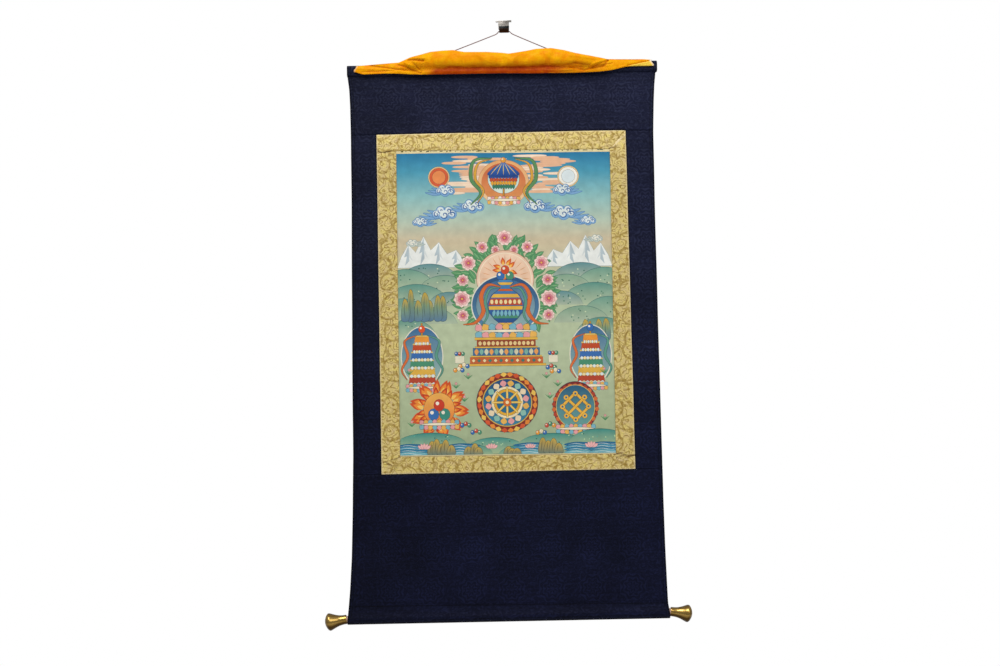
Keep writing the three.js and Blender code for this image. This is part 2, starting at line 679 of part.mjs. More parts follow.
// Lays the gathers in along the surface's own normal, seen from the side.
function coverSurface() {
  const across = evenly(TAIL.columns);
  const sewnY = HANG_Y - ROD.thick / 2 - wrap - SEAM_GAP - COVER.thick / 2;
  const sewnRow = across.map((u) => {
    const x = THREE.MathUtils.lerp(COVER.sewnLeft, COVER.sewnRight, u);
    return { x, y: sewnY, z: COVER.sewnZ, fold: 0, u };
  });
  const rows = [
    sewnRow,
    ...FRONT_PATH.map((step) => across.map((u) => frontPoint(step, u))),
    ...GATE_PATH.map((step) => across.map((u) => gatePoint(step, u))),
  ];
  const last = rows[rows.length - 1];
  evenly(TAIL.rows).slice(1).forEach((share) => {
    rows.push(last.map((start) => tailPoint(start, share)));
  });
  return rows.map((line, r) => line.map((point, c) => {
    const before = rows[Math.max(0, r - 1)][c];
    const after = rows[Math.min(rows.length - 1, r + 1)][c];
    const along = new THREE.Vector2(after.y - before.y, after.z - before.z).normalize();
    const wave = TAIL.fold * point.fold * Math.sin(2 * Math.PI * TAIL.folds * point.u + 0.6);
    return new THREE.Vector3(point.x, point.y - along.y * wave, point.z + along.x * wave);
  }));
}

function buildCover() {
  const surface = coverSurface();
  const rows = surface.length;
  const columns = surface[0].length;
  const faces = [1, -1].map((side) => surface.map((line, r) => line.map((point, c) => {
    const down = surface[Math.min(rows - 1, r + 1)][c].clone()
      .sub(surface[Math.max(0, r - 1)][c]);
    const across = line[Math.min(columns - 1, c + 1)].clone().sub(line[Math.max(0, c - 1)]);
    const normal = across.cross(down).normalize().multiplyScalar((side * COVER.thick) / 2);
    return point.clone().add(normal).toArray();
  })));
  add('cover', clothBody(faces[0], faces[1]), MATERIALS.silk);
}

buildMount();
buildFrame();
buildRods();
buildKnobs();
buildHook();
buildCord();
buildCover();

export default group;
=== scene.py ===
# %% [markdown]
# A thangka is a painted or printed picture, framed in brocade and sewn into a long silk mount that
# rolls up on two rods. This lesson dresses a plain model of one, which hangs by its cord from a
# wall hook. The plain model is loaded first as a frame that never moves: every piece made here
# takes its place from it, in the same metres, so that nothing has to be fitted by eye.

# %% Load the frame
import math
import random
from functools import partial

import bpy
import numpy as np
from mathutils import Matrix, Vector
from mathutils.geometry import delaunay_2d_cdt


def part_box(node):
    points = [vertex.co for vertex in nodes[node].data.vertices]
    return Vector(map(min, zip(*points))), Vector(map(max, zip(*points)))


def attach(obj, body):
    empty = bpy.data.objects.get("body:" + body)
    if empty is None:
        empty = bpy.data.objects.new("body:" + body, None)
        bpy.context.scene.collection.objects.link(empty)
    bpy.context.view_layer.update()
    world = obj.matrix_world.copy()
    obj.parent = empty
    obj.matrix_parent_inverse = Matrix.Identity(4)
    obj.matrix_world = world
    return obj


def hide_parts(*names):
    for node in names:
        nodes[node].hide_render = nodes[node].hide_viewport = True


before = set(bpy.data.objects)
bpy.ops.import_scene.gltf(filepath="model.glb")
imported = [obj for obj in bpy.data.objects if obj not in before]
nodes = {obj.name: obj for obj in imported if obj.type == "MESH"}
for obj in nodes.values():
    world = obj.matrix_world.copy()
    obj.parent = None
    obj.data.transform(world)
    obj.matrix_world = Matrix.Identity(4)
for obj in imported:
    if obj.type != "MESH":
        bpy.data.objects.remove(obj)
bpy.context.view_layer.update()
MM = 0.001
random.seed(7)
print("frame loaded:", len(nodes), "nodes")

# %% [markdown]
# The camera stands a little to the left and below the middle of the scroll, and looks slightly
# up, as somebody does who photographs a picture on a wall. A small roll is part of the photo too.
# It comes first, because everything after it is judged through it.

# %% Set the camera
CAMERA_AT = Vector((-68.1, -2756.4, -837.6)) * MM
CAMERA_AIM = Vector((-21.4, -27.0, -626.6)) * MM
CAMERA_ROLL = math.radians(-1.26)

camera_data = bpy.data.cameras.new("camera")
camera_data.lens = 50
camera_data.sensor_width = 36
camera = bpy.data.objects.new("camera", camera_data)
bpy.context.scene.collection.objects.link(camera)
aim = (CAMERA_AIM - CAMERA_AT).to_track_quat("-Z", "Y").to_matrix().to_4x4()
camera.matrix_world = Matrix.Translation(CAMERA_AT) @ aim @ Matrix.Rotation(CAMERA_ROLL, 4, "Z")
bpy.context.scene.camera = camera
print("camera to scroll:", round((CAMERA_AIM - CAMERA_AT).length, 3), "m")

# %% [markdown]
# Every finish below starts from what the real one is. Colours are written as they look on a
# screen, and one function turns them into the linear numbers that light adds up in. One more
# function adds a node to a material, sets it up and links it, so a material reads as a list.
# Lengths inside a material are in metres, like the maps of the cloth.

# %% Helpers for materials
def linear(code):
    """The linear colour of a hex code, with its fourth number for full cover."""
    parts = [int(code[i:i + 2], 16) / 255 for i in (1, 3, 5)]
    return [p / 12.92 if p <= 0.04045 else ((p + 0.055) / 1.055) ** 2.4 for p in parts] + [1.0]


def fill(material, node, inputs):
    """Fills a node's inputs with values, hex colours or other nodes' outputs."""
    for key, value in inputs.items():
        if isinstance(value, bpy.types.NodeSocket):
            material.node_tree.links.new(value, node.inputs[key])
        else:
            node.inputs[key].default_value = linear(value) if isinstance(value, str) else value


def add_node(material, kind, inputs=None, output=0, **settings):
    """Adds a node, sets it, fills its inputs, and gives one of its outputs."""
    node = material.node_tree.nodes.new("ShaderNode" + kind)
    for name, value in settings.items():
        setattr(node, name, value)
    fill(material, node, inputs or {})
    return node.outputs[output]


def new_material(name):
    """A material, and the function that adds nodes to it."""
    material = bpy.data.materials.new(name)
    material.use_nodes = True
    return material, partial(add_node, material)


def surface(material, inputs):
    """Fills the inputs of the material's one surface shader."""
    fill(material, material.node_tree.nodes["Principled BSDF"], inputs)


print("grey at half brightness is", round(linear("#808080")[0], 3), "in linear light")

# %% [markdown]
# Modelling helpers come next. Each new object starts with nothing selected, because the loaded
# nodes are selected and an operator would act on them too. A finished piece rides on the frame's
# body, stands for its plain node and gets the material it is given.

# %% Helpers for modelling
def deselect():
    if bpy.context.object and bpy.context.object.mode != "OBJECT":
        bpy.ops.object.mode_set(mode="OBJECT")
    bpy.ops.object.select_all(action="DESELECT")


def only(piece):
    deselect()
    piece.select_set(True)
    bpy.context.view_layer.objects.active = piece


def new_piece(name, points, faces):
    """A piece from a list of its points, in millimetres, and of its faces."""
    mesh = bpy.data.meshes.new(name)
    mesh.from_pydata((np.asarray(points) * MM).tolist(), [], faces)
    piece = bpy.data.objects.new(name, mesh)
    bpy.context.scene.collection.objects.link(piece)
    return piece


def outward(piece, merge=0.0):
    """Merges points that lie this close, in metres, and turns every face outwards."""
    only(piece)
    bpy.ops.object.mode_set(mode="EDIT")
    bpy.ops.mesh.select_all(action="SELECT")
    if merge:
        bpy.ops.mesh.remove_doubles(threshold=merge)
    bpy.ops.mesh.normals_make_consistent(inside=False)
    bpy.ops.object.mode_set(mode="OBJECT")


def apply_modifier(piece, kind, **settings):
    """Adds a modifier to a piece, sets it and applies it."""
    only(piece)
    modifier = piece.modifiers.new(kind.lower(), kind)
    for name, value in settings.items():
        setattr(modifier, name, value)
    bpy.ops.object.modifier_apply(modifier=modifier.name)


def finish_piece(piece, name, material, plain_node):
    """Names a piece, gives it its material, and ties it to the frame."""
    piece.name = name
    piece.data.name = name
    piece.data.materials.clear()
    piece.data.materials.append(material)
    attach(piece, "root")
    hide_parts(plain_node)
    print(name, "has", len(piece.data.polygons), "faces")


def smooth(start, end, value):
    """Rises gently from 0 to 1 as the value goes from start to end, upwards or downwards."""
    share = np.clip((value - start) / (end - start), 0, 1)
    return share * share * (3 - 2 * share)


def lerp(a, b, t):
    return a + (b - a) * t


def table(rows, at, column, spread=0.0):
    """Reads a column of a table, against its first column, with its corners rounded by a spread."""
    order = sorted(rows)
    xs = [row[0] for row in order]
    ys = [row[column] for row in order]
    steps = np.linspace(-1, 1, 9) if spread else [0.0]
    weights = [1.05 - abs(step) for step in steps]
    total = sum(w * np.interp(at + step * spread, xs, ys) for w, step in zip(weights, steps))
    return total / sum(weights)


# %% [markdown]
# A cord is a fixed length of something flexible. This one is about 2 mm thick, runs in one piece
# from a knot on the top sleeve, over the hook, to another knot, and the weight of the scroll pulls
# it almost straight. It is modelled as a tube with three strands twisted round each other: the
# tube's section is a soft trefoil that turns as it goes along the route. Its cotton is matt and
# mottled, a dull reddish brown from years of handling.

# %% Lay the hanging cord
HANG_Y = -26.0
CORD_RADIUS = 1.0
CORD_ROUTE = [
    # x and z, in the plane in which the scroll hangs
    (-163.1, -81.6), (-130, -69.4), (-100, -57.8), (-60, -42.7), (-30, -31.2), (-17.3, -26.3),
    (-12.9, -22.9), (-10.4, -20.1), (-8, -20.1), (0, -20.1), (8, -20.1), (10.4, -20.1),
    (12.9, -22.7), (17.3, -26), (30, -32), (60, -45.5), (90, -58.7), (120, -71.5), (143.1, -81.4),
]
STRANDS = 3
STRAND_PITCH = 7.0
STRAND_RELIEF = 0.1
CORD_STEP = 0.7
CORD_SIDES = 12


def curve_through(a, b, c, d, t):
    """A smooth curve's place, a share t of the way from b to c. a and d are their neighbours."""
    return 0.5 * (2 * b + (c - a) * t + (2 * a - 5 * b + 4 * c - d) * t ** 2
                  + (3 * b - a - 3 * c + d) * t ** 3)


def run_along(line):
    """How far along a line each of its points lies."""
    return np.concatenate([[0], np.cumsum(np.linalg.norm(np.diff(line, axis=0), axis=1))])


def smooth_route(points, step):
    """Points at even steps on a smooth line through a route, and how far along they lie."""
    points = np.array(points, float)
    padded = np.vstack([2 * points[0] - points[1], points, 2 * points[-1] - points[-2]])
    t = np.linspace(0, 1, 24, endpoint=False)[:, None]
    pieces = [curve_through(*four, t) for four in zip(padded, padded[1:], padded[2:], padded[3:])]
    line = np.vstack([*pieces, points[-1:]])
    along = run_along(line)
    at = np.linspace(0, along[-1], max(2, round(along[-1] / step)) + 1)
    return np.column_stack([np.interp(at, along, line[:, i]) for i in range(line.shape[1])]), at


def twisted_tube(name, line, at, radius, sides, pitch, strands):
    """A closed tube along a line, whose lobed section turns once in each pitch."""
    points, faces = [], []
    tangents = np.gradient(line, axis=0)
    side = np.array([0.0, 1.0, 0.0])
    for point, tangent, run in zip(line, tangents, at):
        tangent = tangent / np.linalg.norm(tangent)
        side = side - tangent * side.dot(tangent)
        side = side / np.linalg.norm(side)
        other = np.cross(tangent, side)
        for k in range(sides):
            angle = 2 * math.pi * k / sides
            lobe = math.cos(strands * (angle - 2 * math.pi * run / pitch))
            r = radius * (1 - STRAND_RELIEF + STRAND_RELIEF * lobe)
            points.append(point + side * r * math.cos(angle) + other * r * math.sin(angle))
    rings = len(line)
    for ring in range(rings - 1):
        for k in range(sides):
            a, b = ring * sides + k, ring * sides + (k + 1) % sides
            faces.append((a, b, b + sides, a + sides))
    faces.append(tuple(reversed(range(sides))))
    faces.append(tuple(range((rings - 1) * sides, rings * sides)))
    tube = new_piece(name, points, faces)
    outward(tube)
    bpy.ops.object.shade_smooth()
    return tube


cord_material, node = new_material("twisted_cotton_cord")
cord_tone = node("TexNoise", {"Scale": 420.0, "Detail": 3.0})
cord_colour = node("MixRGB", {"Fac": cord_tone, "Color1": "#5c3a36", "Color2": "#94706a"})
surface(cord_material, {"Base Color": cord_colour, "Roughness": 0.85})

route = [(x, HANG_Y, z) for x, z in CORD_ROUTE]
line, run = smooth_route(route, CORD_STEP)
cord = twisted_tube("cord_braid", line, run, CORD_RADIUS, CORD_SIDES, STRAND_PITCH, STRANDS)
finish_piece(cord, "cord_braid", cord_material, "cord")
print("cord length:", round(run[-1]), "mm")

# %% [markdown]
# Each end of the cord is tied in an overhand knot where it comes out of the sleeve. A real
# overhand knot is a trefoil, so the knot is the same tube along a small trefoil curve, squeezed
# to the size of the plain node.

# %% Tie the two knots
KNOT_SIZE = 0.48
KNOT_CORD = 0.78
KNOT_SIDES = 8
for side in ("left", "right"):
    low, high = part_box("knot_" + side)
    middle = np.array((low + high) / 2) / MM
    turn = np.linspace(0, 2 * math.pi, 60)
    trefoil = np.column_stack([
        np.sin(turn) + 2 * np.sin(2 * turn),
        np.cos(turn) - 2 * np.cos(2 * turn),
        -0.9 * np.sin(3 * turn),
    ]) * KNOT_SIZE + middle
    knot = twisted_tube("knot", trefoil, run_along(trefoil), KNOT_CORD, KNOT_SIDES, STRAND_PITCH,
                        STRANDS)
    finish_piece(knot, "cord_knot_" + side, cord_material, "knot_" + side)

# %% [markdown]
# The hook is a strip of steel, 20 mm wide and a little over 1 mm thick, with a wider cross head at
# the top. It goes down the wall, bends forward and up again, and the cord lies in the bend. A
# strip is easy to model as it is made: one end face is extruded along the middle line, and turned
# and narrowed a little at each step.

# %% Bend the wall hook
HOOK_THICK = 1.3
# Distance along the strip, and its width there.
HOOK_WIDTHS = [(0, 22.0), (14, 21.6), (34, 19.0), (44, 18.6), (58, 20.4)]
TROUGH_Z, TROUGH_RADIUS, LIP_TOP = -17.5, 4.55, -10.5
STRAP_TOP, STRAP_BEND, BEND_PULL = 10.0, -5.0, 7.5
HEAD_SIZE = (31.7, 1.5, 4.0)
HEAD_AT = (0.0, -0.85, 8.4)
HEAD_WORN = 1.2


def hook_line():
    """The strip's middle line in y and z, from its back's top, round the trough, to the lip."""
    half = HOOK_THICK / 2
    behind = HANG_Y + TROUGH_RADIUS
    knots_of_bend = np.array([(-half, STRAP_BEND), (-half, STRAP_BEND - BEND_PULL),
                              (behind, TROUGH_Z + BEND_PULL), (behind, TROUGH_Z)])
    t = np.linspace(0, 1, 25)[:, None]
    bend = ((1 - t) ** 3 * knots_of_bend[0] + 3 * t * (1 - t) ** 2 * knots_of_bend[1]
            + 3 * t ** 2 * (1 - t) * knots_of_bend[2] + t ** 3 * knots_of_bend[3])
    angle = np.linspace(0, math.pi, 21)[1:]
    trough = np.column_stack([HANG_Y + TROUGH_RADIUS * np.cos(angle),
                              TROUGH_Z - TROUGH_RADIUS * np.sin(angle)])
    back = [(-half, STRAP_TOP), (-half, (STRAP_TOP + STRAP_BEND) / 2)]
    return np.vstack([back, bend, trough, [(HANG_Y - TROUGH_RADIUS, LIP_TOP)]])


def extruded_strip(line, widths, thick):
    """Extrudes a strip's end face from point to point of a line in the y-z plane."""
    length = run_along(line)
    tangents = np.gradient(line, axis=0)
    tangents /= np.linalg.norm(tangents, axis=1)[:, None]
    deselect()
    bpy.ops.mesh.primitive_plane_add(size=1)
    strip = bpy.context.object
    bpy.ops.object.mode_set(mode="EDIT")
    for index in range(1, len(line)):
        bpy.ops.mesh.extrude_region_move(TRANSFORM_OT_translate={"value": (0, 0, 1)})
    bpy.ops.object.mode_set(mode="OBJECT")
    for vertex in strip.data.vertices:
        index = round(vertex.co.z)
        tangent = tangents[index]
        across = vertex.co.x * np.interp(length[index], *zip(*widths))
        out = vertex.co.y * thick
        y, z = line[index] + out * np.array([-tangent[1], tangent[0]])
        vertex.co = Vector((across, y, z)) * MM
    return strip


def soften(piece, width):
    """Bevels the sharp edges a little and smooths the rest."""
    apply_modifier(piece, "BEVEL", width=width * MM, segments=2, limit_method="ANGLE",
                   angle_limit=math.radians(40))
    only(piece)
    bpy.ops.object.shade_smooth_by_angle(angle=math.radians(35))


strip = extruded_strip(hook_line(), HOOK_WIDTHS, HOOK_THICK)
outward(strip, merge=0.00001)
deselect()
bpy.ops.mesh.primitive_cube_add(size=1, location=[place * MM for place in HEAD_AT],
                                scale=[size * MM for size in HEAD_SIZE])
head = bpy.context.object
bpy.ops.object.transform_apply(location=True, rotation=False, scale=True)
for vertex in head.data.vertices:
    if vertex.co.x < 0 and vertex.co.z > HEAD_AT[2] * MM:
        vertex.co.z -= HEAD_WORN * MM
soften(strip, 0.3)
soften(head, 0.4)
deselect()
strip.select_set(True)
head.select_set(True)
bpy.context.view_layer.objects.active = strip
bpy.ops.object.join()
print("the strip is", round(run_along(hook_line())[-1], 1), "mm long before it is bent")

# %% [markdown]
# The hook's steel is bright where the strap faces the light. In the bend, which faces down, its
# colour has a painted shade and a painted reflection. The mask of the painted shade starts where
# the steel comes forward to the trough. It is near black above, and brown below as a painted
# reflection of the orange cover, and noise breaks it up.

# %% Finish the hook in steel, with painted shade in the bend
steel, node = new_material("bent_steel_painted_shade")
place = node("TexCoord", output="Object")
height = node("SeparateXYZ", {"Vector": place}, output="Z")
forward = node("SeparateXYZ", {"Vector": place}, output="Y")
# The bend gets a painted shade: near black above, brown below as a painted reflection of the cover.
painted_bend_shade = node("MapRange", {"Value": forward, "From Min": -24 * MM, "From Max": -27 * MM})
speckle = node("TexNoise", {"Vector": place, "Scale": 260.0, "Detail": 4.0})
lower = node("MapRange", {"Value": height, "From Min": -14 * MM, "From Max": -19 * MM})
painted_bend_colour = node("MixRGB", {"Fac": lower, "Color1": "#151718", "Color2": "#2e1d12"})
painted_bend_speck = node("Math", {0: speckle, 1: 0.8}, operation="ADD")
painted_bend_colour = node("VectorMath", {0: painted_bend_colour, 3: painted_bend_speck}, operation="SCALE")
clean_colour = node("MixRGB", {"Fac": speckle, "Color1": "#4e4b47", "Color2": "#96918b"})
steel_colour = node("MixRGB", {"Fac": painted_bend_shade, "Color1": clean_colour, "Color2": painted_bend_colour})
surface(steel, {"Base Color": steel_colour, "Metallic": 1.0, "Roughness": 0.34})
finish_piece(strip, "steel_hook", steel, "wall_hook")

# %% [markdown]
# The knobs on the bottom rod are brass, cast thin and turned on a lathe, and shaped like a
# trumpet: a narrow neck, a flare, a rounded rim and a low dome. A turned piece is a row of rings,
# so one ring is extruded again and again along the axis and scaled to the profile's radius. The
# knobs sit loose on the dowel, so their outer ends hang a few degrees low.

# %% Turn the brass knobs
KNOB_PROFILE = [
    # distance along the axis from the mouth, and radius
    (14, 0.01), (14, 8.2), (0.4, 8.2), (0, 8.5), (0.3, 8.8), (5, 8.9), (10, 9.3), (14, 10.0),
    (18, 11.1), (22, 12.5), (26, 14.2), (29, 15.5), (31.5, 16.4), (33, 16.7), (34.6, 16.5),
    (36.4, 15.3), (38.5, 12.6), (40.3, 9.2), (41.5, 5.6), (42.1, 2.4), (42.25, 0.01),
]
KNOB_SIDES = 72
KNOB_DROOP = math.radians(7.6)
KNOB_MOUTHS = {"left": (-330.4, -1176.7, 1), "right": (298.4, -1176.7, -1)}
RING_STEP = 1.1


def turned_knob(x, z, side):
    """A knob, drawn from its socket, round the mouth, along the flare, to the dome's middle."""
    outside, _ = smooth_route(KNOB_PROFILE[3:], RING_STEP)
    profile = np.vstack([KNOB_PROFILE[:3], np.maximum(outside, (-1, KNOB_PROFILE[0][1]))])
    deselect()
    bpy.ops.mesh.primitive_circle_add(vertices=KNOB_SIDES, radius=1)
    knob = bpy.context.object
    bpy.ops.object.mode_set(mode="EDIT")
    for _ in profile[1:]:
        bpy.ops.mesh.extrude_region_move(TRANSFORM_OT_translate={"value": (0, 0, 1)})
    bpy.ops.object.mode_set(mode="OBJECT")
    for vertex in knob.data.vertices:
        along, radius = profile[round(vertex.co.z)]
        vertex.co = Vector((vertex.co.x * radius, vertex.co.y * radius, along)) * MM
    outward(knob, merge=0.00003)
    turn = Matrix.Rotation(-side * (math.pi / 2 + KNOB_DROOP), 4, "Y")
    knob.data.transform(Matrix.Translation(Vector((x, HANG_Y, z)) * MM) @ turn)
    only(knob)
    bpy.ops.object.shade_smooth_by_angle(angle=math.radians(40))
    return knob


# %% [markdown]
# Polished brass shows its surroundings more than its own colour. The material adds what the years
# add: a tarnish that varies from place to place, a gloss that is a little uneven, and tiny dents.
# The highest and the lowest sides are painted dark brown, a painted shade and a painted dark
# reflection. Where a side is high or low is read from the direction of its surface.

# %% Finish the knobs in polished brass
brass, node = new_material("polished_cast_brass")
place = node("TexCoord", output="Object")
tarnish = node("TexNoise", {"Vector": place, "Scale": 70.0, "Detail": 5.0})
brass_colour = node("MixRGB", {"Fac": tarnish, "Color1": "#9a7430", "Color2": "#cfae66"})
# The highest and lowest sides get a painted shade, dark brown, chosen by the surface's direction.
upright = node("TexCoord", output="Normal")
upright = node("SeparateXYZ", {0: upright}, output="Z")
above = node("MapRange", {"Value": upright, "From Min": 0.62, "From Max": 0.95, "To Max": 0.65})
under = node("MapRange", {"Value": upright, "From Min": 0.0, "From Max": -0.45, "To Max": 0.9})
painted_dark_sides = node("Math", {0: above, 1: under}, operation="MAXIMUM")
brass_colour = node("MixRGB", {"Fac": painted_dark_sides, "Color1": brass_colour, "Color2": "#2c1606"})
gloss = node("MapRange", {"Value": tarnish, "To Min": 0.15, "To Max": 0.24})
dents = node("TexNoise", {"Vector": place, "Scale": 160.0, "Detail": 2.0})
brass_bump = node("Bump", {"Height": dents, "Strength": 0.012, "Distance": 0.3 * MM})
surface(brass, {"Base Color": brass_colour, "Roughness": gloss, "Normal": brass_bump,
                "Metallic": 1.0})
for side, (x, z, sign) in KNOB_MOUTHS.items():
    finish_piece(turned_knob(x, z, sign), "brass_knob_" + side, brass, "knob_" + side)

# %% [markdown]
# The two rods are plain turned and planed softwood. Only their ends show, so the frame's own
# solids stay, with a wood whose grain runs along the rod: noise stretched thirty times in X.

# %% Finish the rods in wood
wood, node = new_material("planed_softwood")
place = node("TexCoord", output="Object")
grain_place = node("Mapping", {"Vector": place, "Scale": (1.0, 30.0, 30.0)})
grain = node("TexNoise", {"Vector": grain_place, "Scale": 14.0, "Detail": 6.0})
wood_colour = node("MixRGB", {"Fac": grain, "Color1": "#a97c66", "Color2": "#e2c4b0"})
wood_bump = node("Bump", {"Height": grain, "Strength": 0.3, "Distance": 0.2 * MM})
surface(wood, {"Base Color": wood_colour, "Normal": wood_bump, "Roughness": 0.6})
for name in ("top_rod", "bottom_dowel"):
    nodes[name].data.materials.clear()
    nodes[name].data.materials.append(wood)
print("rods finished")

# %% [markdown]
# Hung cloth is never quite flat. It keeps slow upright waves, a memory of being rolled, edges that
# curl back, and creases where two layers pull against each other at a seam. All the mount's pieces
# hang as one sheet, so one function gives the depth of the whole sheet at any place, and every
# piece is laid on it. The creases are listed one by one, each as a soft trough or ridge.

# %% Shape the hung sheet
MOUNT_EDGES = [
    # z, with x of the left and of the right edge there
    (-108, -314.8, 301.9), (-132, -311.7, 298.9), (-166, -310.5, 296.8), (-232, -309.9, 294.3),
    (-362, -310.3, 293.0), (-562, -312.3, 292.3), (-762, -313.9, 292.0), (-862, -314.0, 292.2),
    (-962, -316.3, 291.8), (-1062, -319.6, 292.9), (-1122, -323.3, 293.5), (-1159, -326.9, 294.3),
    (-1187, -329.1, 297.4),
]
CREASES = [
    # x and z of both ends, width and depth; a positive depth goes back, away from the viewer
    (-259, -878, -236, -850, 5, 0.9), (-222, -866, -240, -895, 5, -0.7),
    (238, -873, 214, -884, 5, 0.9), (199, -869, 226, -897, 6, -0.8),
    (-259, -263, -230, -248, 5, 0.7), (-220, -259, -250, -228, 6, -0.7),
    (204, -263, 236, -227, 5, 0.8), (-290, -1020, -150, -1100, 30, 0.8),
    (120, -960, 250, -1090, 36, -0.9), (-60, -930, 20, -1130, 40, 0.7),
    (-285, -150, -180, -215, 26, 0.6), (120, -140, 240, -205, 30, -0.6),
]
UPRIGHT_WAVE, UPRIGHT_PITCH = 1.6, 285
ROLLED_WAVE, ROLLED_PITCH = 1.1, 215
EDGE_CURL = 2.6


def mount_edge(z, side):
    return table(MOUNT_EDGES, z, 1 if side == "left" else 2, spread=12)


def fold_depth(x, z, folds):
    """How far listed troughs and ridges move a sheet back or forwards."""
    depth = 0.0
    for x0, z0, x1, z1, width, deep in folds:
        along = ((x - x0) * (x1 - x0) + (z - z0) * (z1 - z0)) / ((x1 - x0) ** 2 + (z1 - z0) ** 2)
        along = np.clip(along, 0, 1)
        away = np.hypot(x - x0 - along * (x1 - x0), z - z0 - along * (z1 - z0))
        depth = depth + deep * np.exp(-(away / width * 1.6) ** 2)
    return depth


def hung_depth(x, z):
    """Depth of the hung sheet's middle, in y. The rods hold it straight at both ends."""
    free = smooth(-110, -230, z) * smooth(-1150, -1040, z)
    upright = UPRIGHT_WAVE * np.sin(2 * math.pi * x / UPRIGHT_PITCH + 0.9)
    rolled = ROLLED_WAVE * np.sin(2 * math.pi * z / ROLLED_PITCH + x / 420 + 0.5)
    left, right = mount_edge(z, "left"), mount_edge(z, "right")
    curl = EDGE_CURL * np.abs((2 * x - left - right) / (right - left)) ** 7
    depth = HANG_Y + free * (upright + rolled + curl)
    return depth + fold_depth(x, z, CREASES)


print("depth at the middle of the picture:", round(float(hung_depth(-10.0, -560.0)), 2), "mm")

# %% [markdown]
# Each piece of cloth is a grid, pulled to its shape, given a UV map in real metres so that a
# woven pattern runs along the strip as it was cut, and then given its thickness. Where a maker
# turns an edge under, the grid's last columns fold round behind the face, and where a seam is
# pressed to one side, they step back and run on behind the next piece.

# %% Helpers for cloth
CLOTH = 1.0
TURNED = 1.05
# How an edge is turned: distances in from the edge, each with a depth behind the face.
PLAIN = [(0.5, 0)]
HEM = [(14, TURNED), (7, TURNED), (1.5, TURNED), (0.75, 0.9), (0.5, 0.52), (0.75, 0.15), (1.5, 0)]
ROLLED = [(1.4, 1.3), (0.7, 1.2), (0.5, 0.9), (0.62, 0.4), (1.1, 0.1), (1.9, 0)]
UNDER = [(-8, 2.2), (-4, 2.2), (-1, 2.2), (0.1, 1.2), (0.5, 0.4), (1.2, 0)]
# The navy strips run on behind the gold ones, which are thicker.
DEEPER = [(place, depth * 1.36) for place, depth in UNDER]


def stations(length, spacing, start, end):
    """Places along a length, each with a depth behind the face, with its two edges turned."""
    first, last = start[-1][0] + spacing / 2, length - end[-1][0] - spacing / 2
    inner = np.linspace(first, last, max(2, round((last - first) / spacing)))
    rows = start + [(place, 0) for place in inner] + [(length - i, d) for i, d in reversed(end)]
    return np.array(rows, float).T


def sheet_from(points, uv, thick):
    """Pulls a fresh grid to rows of points in mm, maps it in metres and gives it a thickness."""
    rows, columns = points.shape[:2]
    deselect()
    bpy.ops.mesh.primitive_grid_add(x_subdivisions=columns - 1, y_subdivisions=rows - 1, size=1)
    sheet = bpy.context.object
    mesh = sheet.data
    mesh.vertices.foreach_set("co", (points * MM).astype(np.float32).ravel())
    corner = np.empty(len(mesh.loops), dtype=np.int32)
    mesh.loops.foreach_get("vertex_index", corner)
    flat = (uv * MM).reshape(-1, 2)[corner]
    mesh.uv_layers[0].data.foreach_set("uv", flat.astype(np.float32).ravel())
    mesh.update()
    if thick:
        apply_modifier(sheet, "SOLIDIFY", thickness=thick * MM, offset=0)
    only(sheet)
    bpy.ops.object.shade_smooth_by_angle(angle=math.radians(50))
    return sheet


def hung_piece(place, width, height, spacing, edges, base):
    """A piece of the hung sheet. place gives x and z for shares across and down."""
    across, depth_across = stations(width, spacing, edges[0], edges[1])
    down, depth_down = stations(height, spacing, edges[2], edges[3])
    u, v = np.meshgrid(across / width, down / height)
    x, z = place(u, v)
    behind = np.maximum(*np.meshgrid(depth_across, depth_down))
    y = hung_depth(x, z) + base + behind
    uv = np.stack([x + 3.7 * width, z + 0.43 * height], axis=-1)
    return sheet_from(np.stack([x, y, z], axis=-1), uv, CLOTH)


print("a hem of", HEM[0][0], "mm is turned under")

# %% [markdown]
# Silk damask shows one colour twice: the pattern is satin floats that catch the light on a duller
# ground, and the floats are painted lighter than the ground, a painted sheen. The pattern here
# is a lattice of round flower medallions, 79 mm apart, with cloud scrolls between them. A
# medallion is rings whose radius ripples round the centre, and the scrolls are the level lines of
# a cell texture. Slubs, the thicker places in hand-reeled silk, run across as short light streaks.
# The painted sheen of the floats is patchy, so the pattern gleams in places only. The colour is
# also painted lighter towards the top and darker along the left side, a painted fall-off of the
# light. Each piece keeps on its points how far they lie from an edge and from a seam, for the
# thin dark lines where the cloth is turned under and stitched, for a painted shade along the
# underside of the bottom sleeve, and for a painted shadow along the seams.

# %% Weave the navy damask
MEDALLIONS = 12.66  # to a metre, so one every 79 mm
MEDALLION_RADIUS = 27.0 * MM
PETALS, PETAL_DEPTH = 8.0, 2.1 * MM
RING_TURNS = 820.0  # radians to a metre, so a ring every 7.7 mm
CURLS = 78.0  # to a metre, so one every 13 mm
CURL_TURNS = 15.0
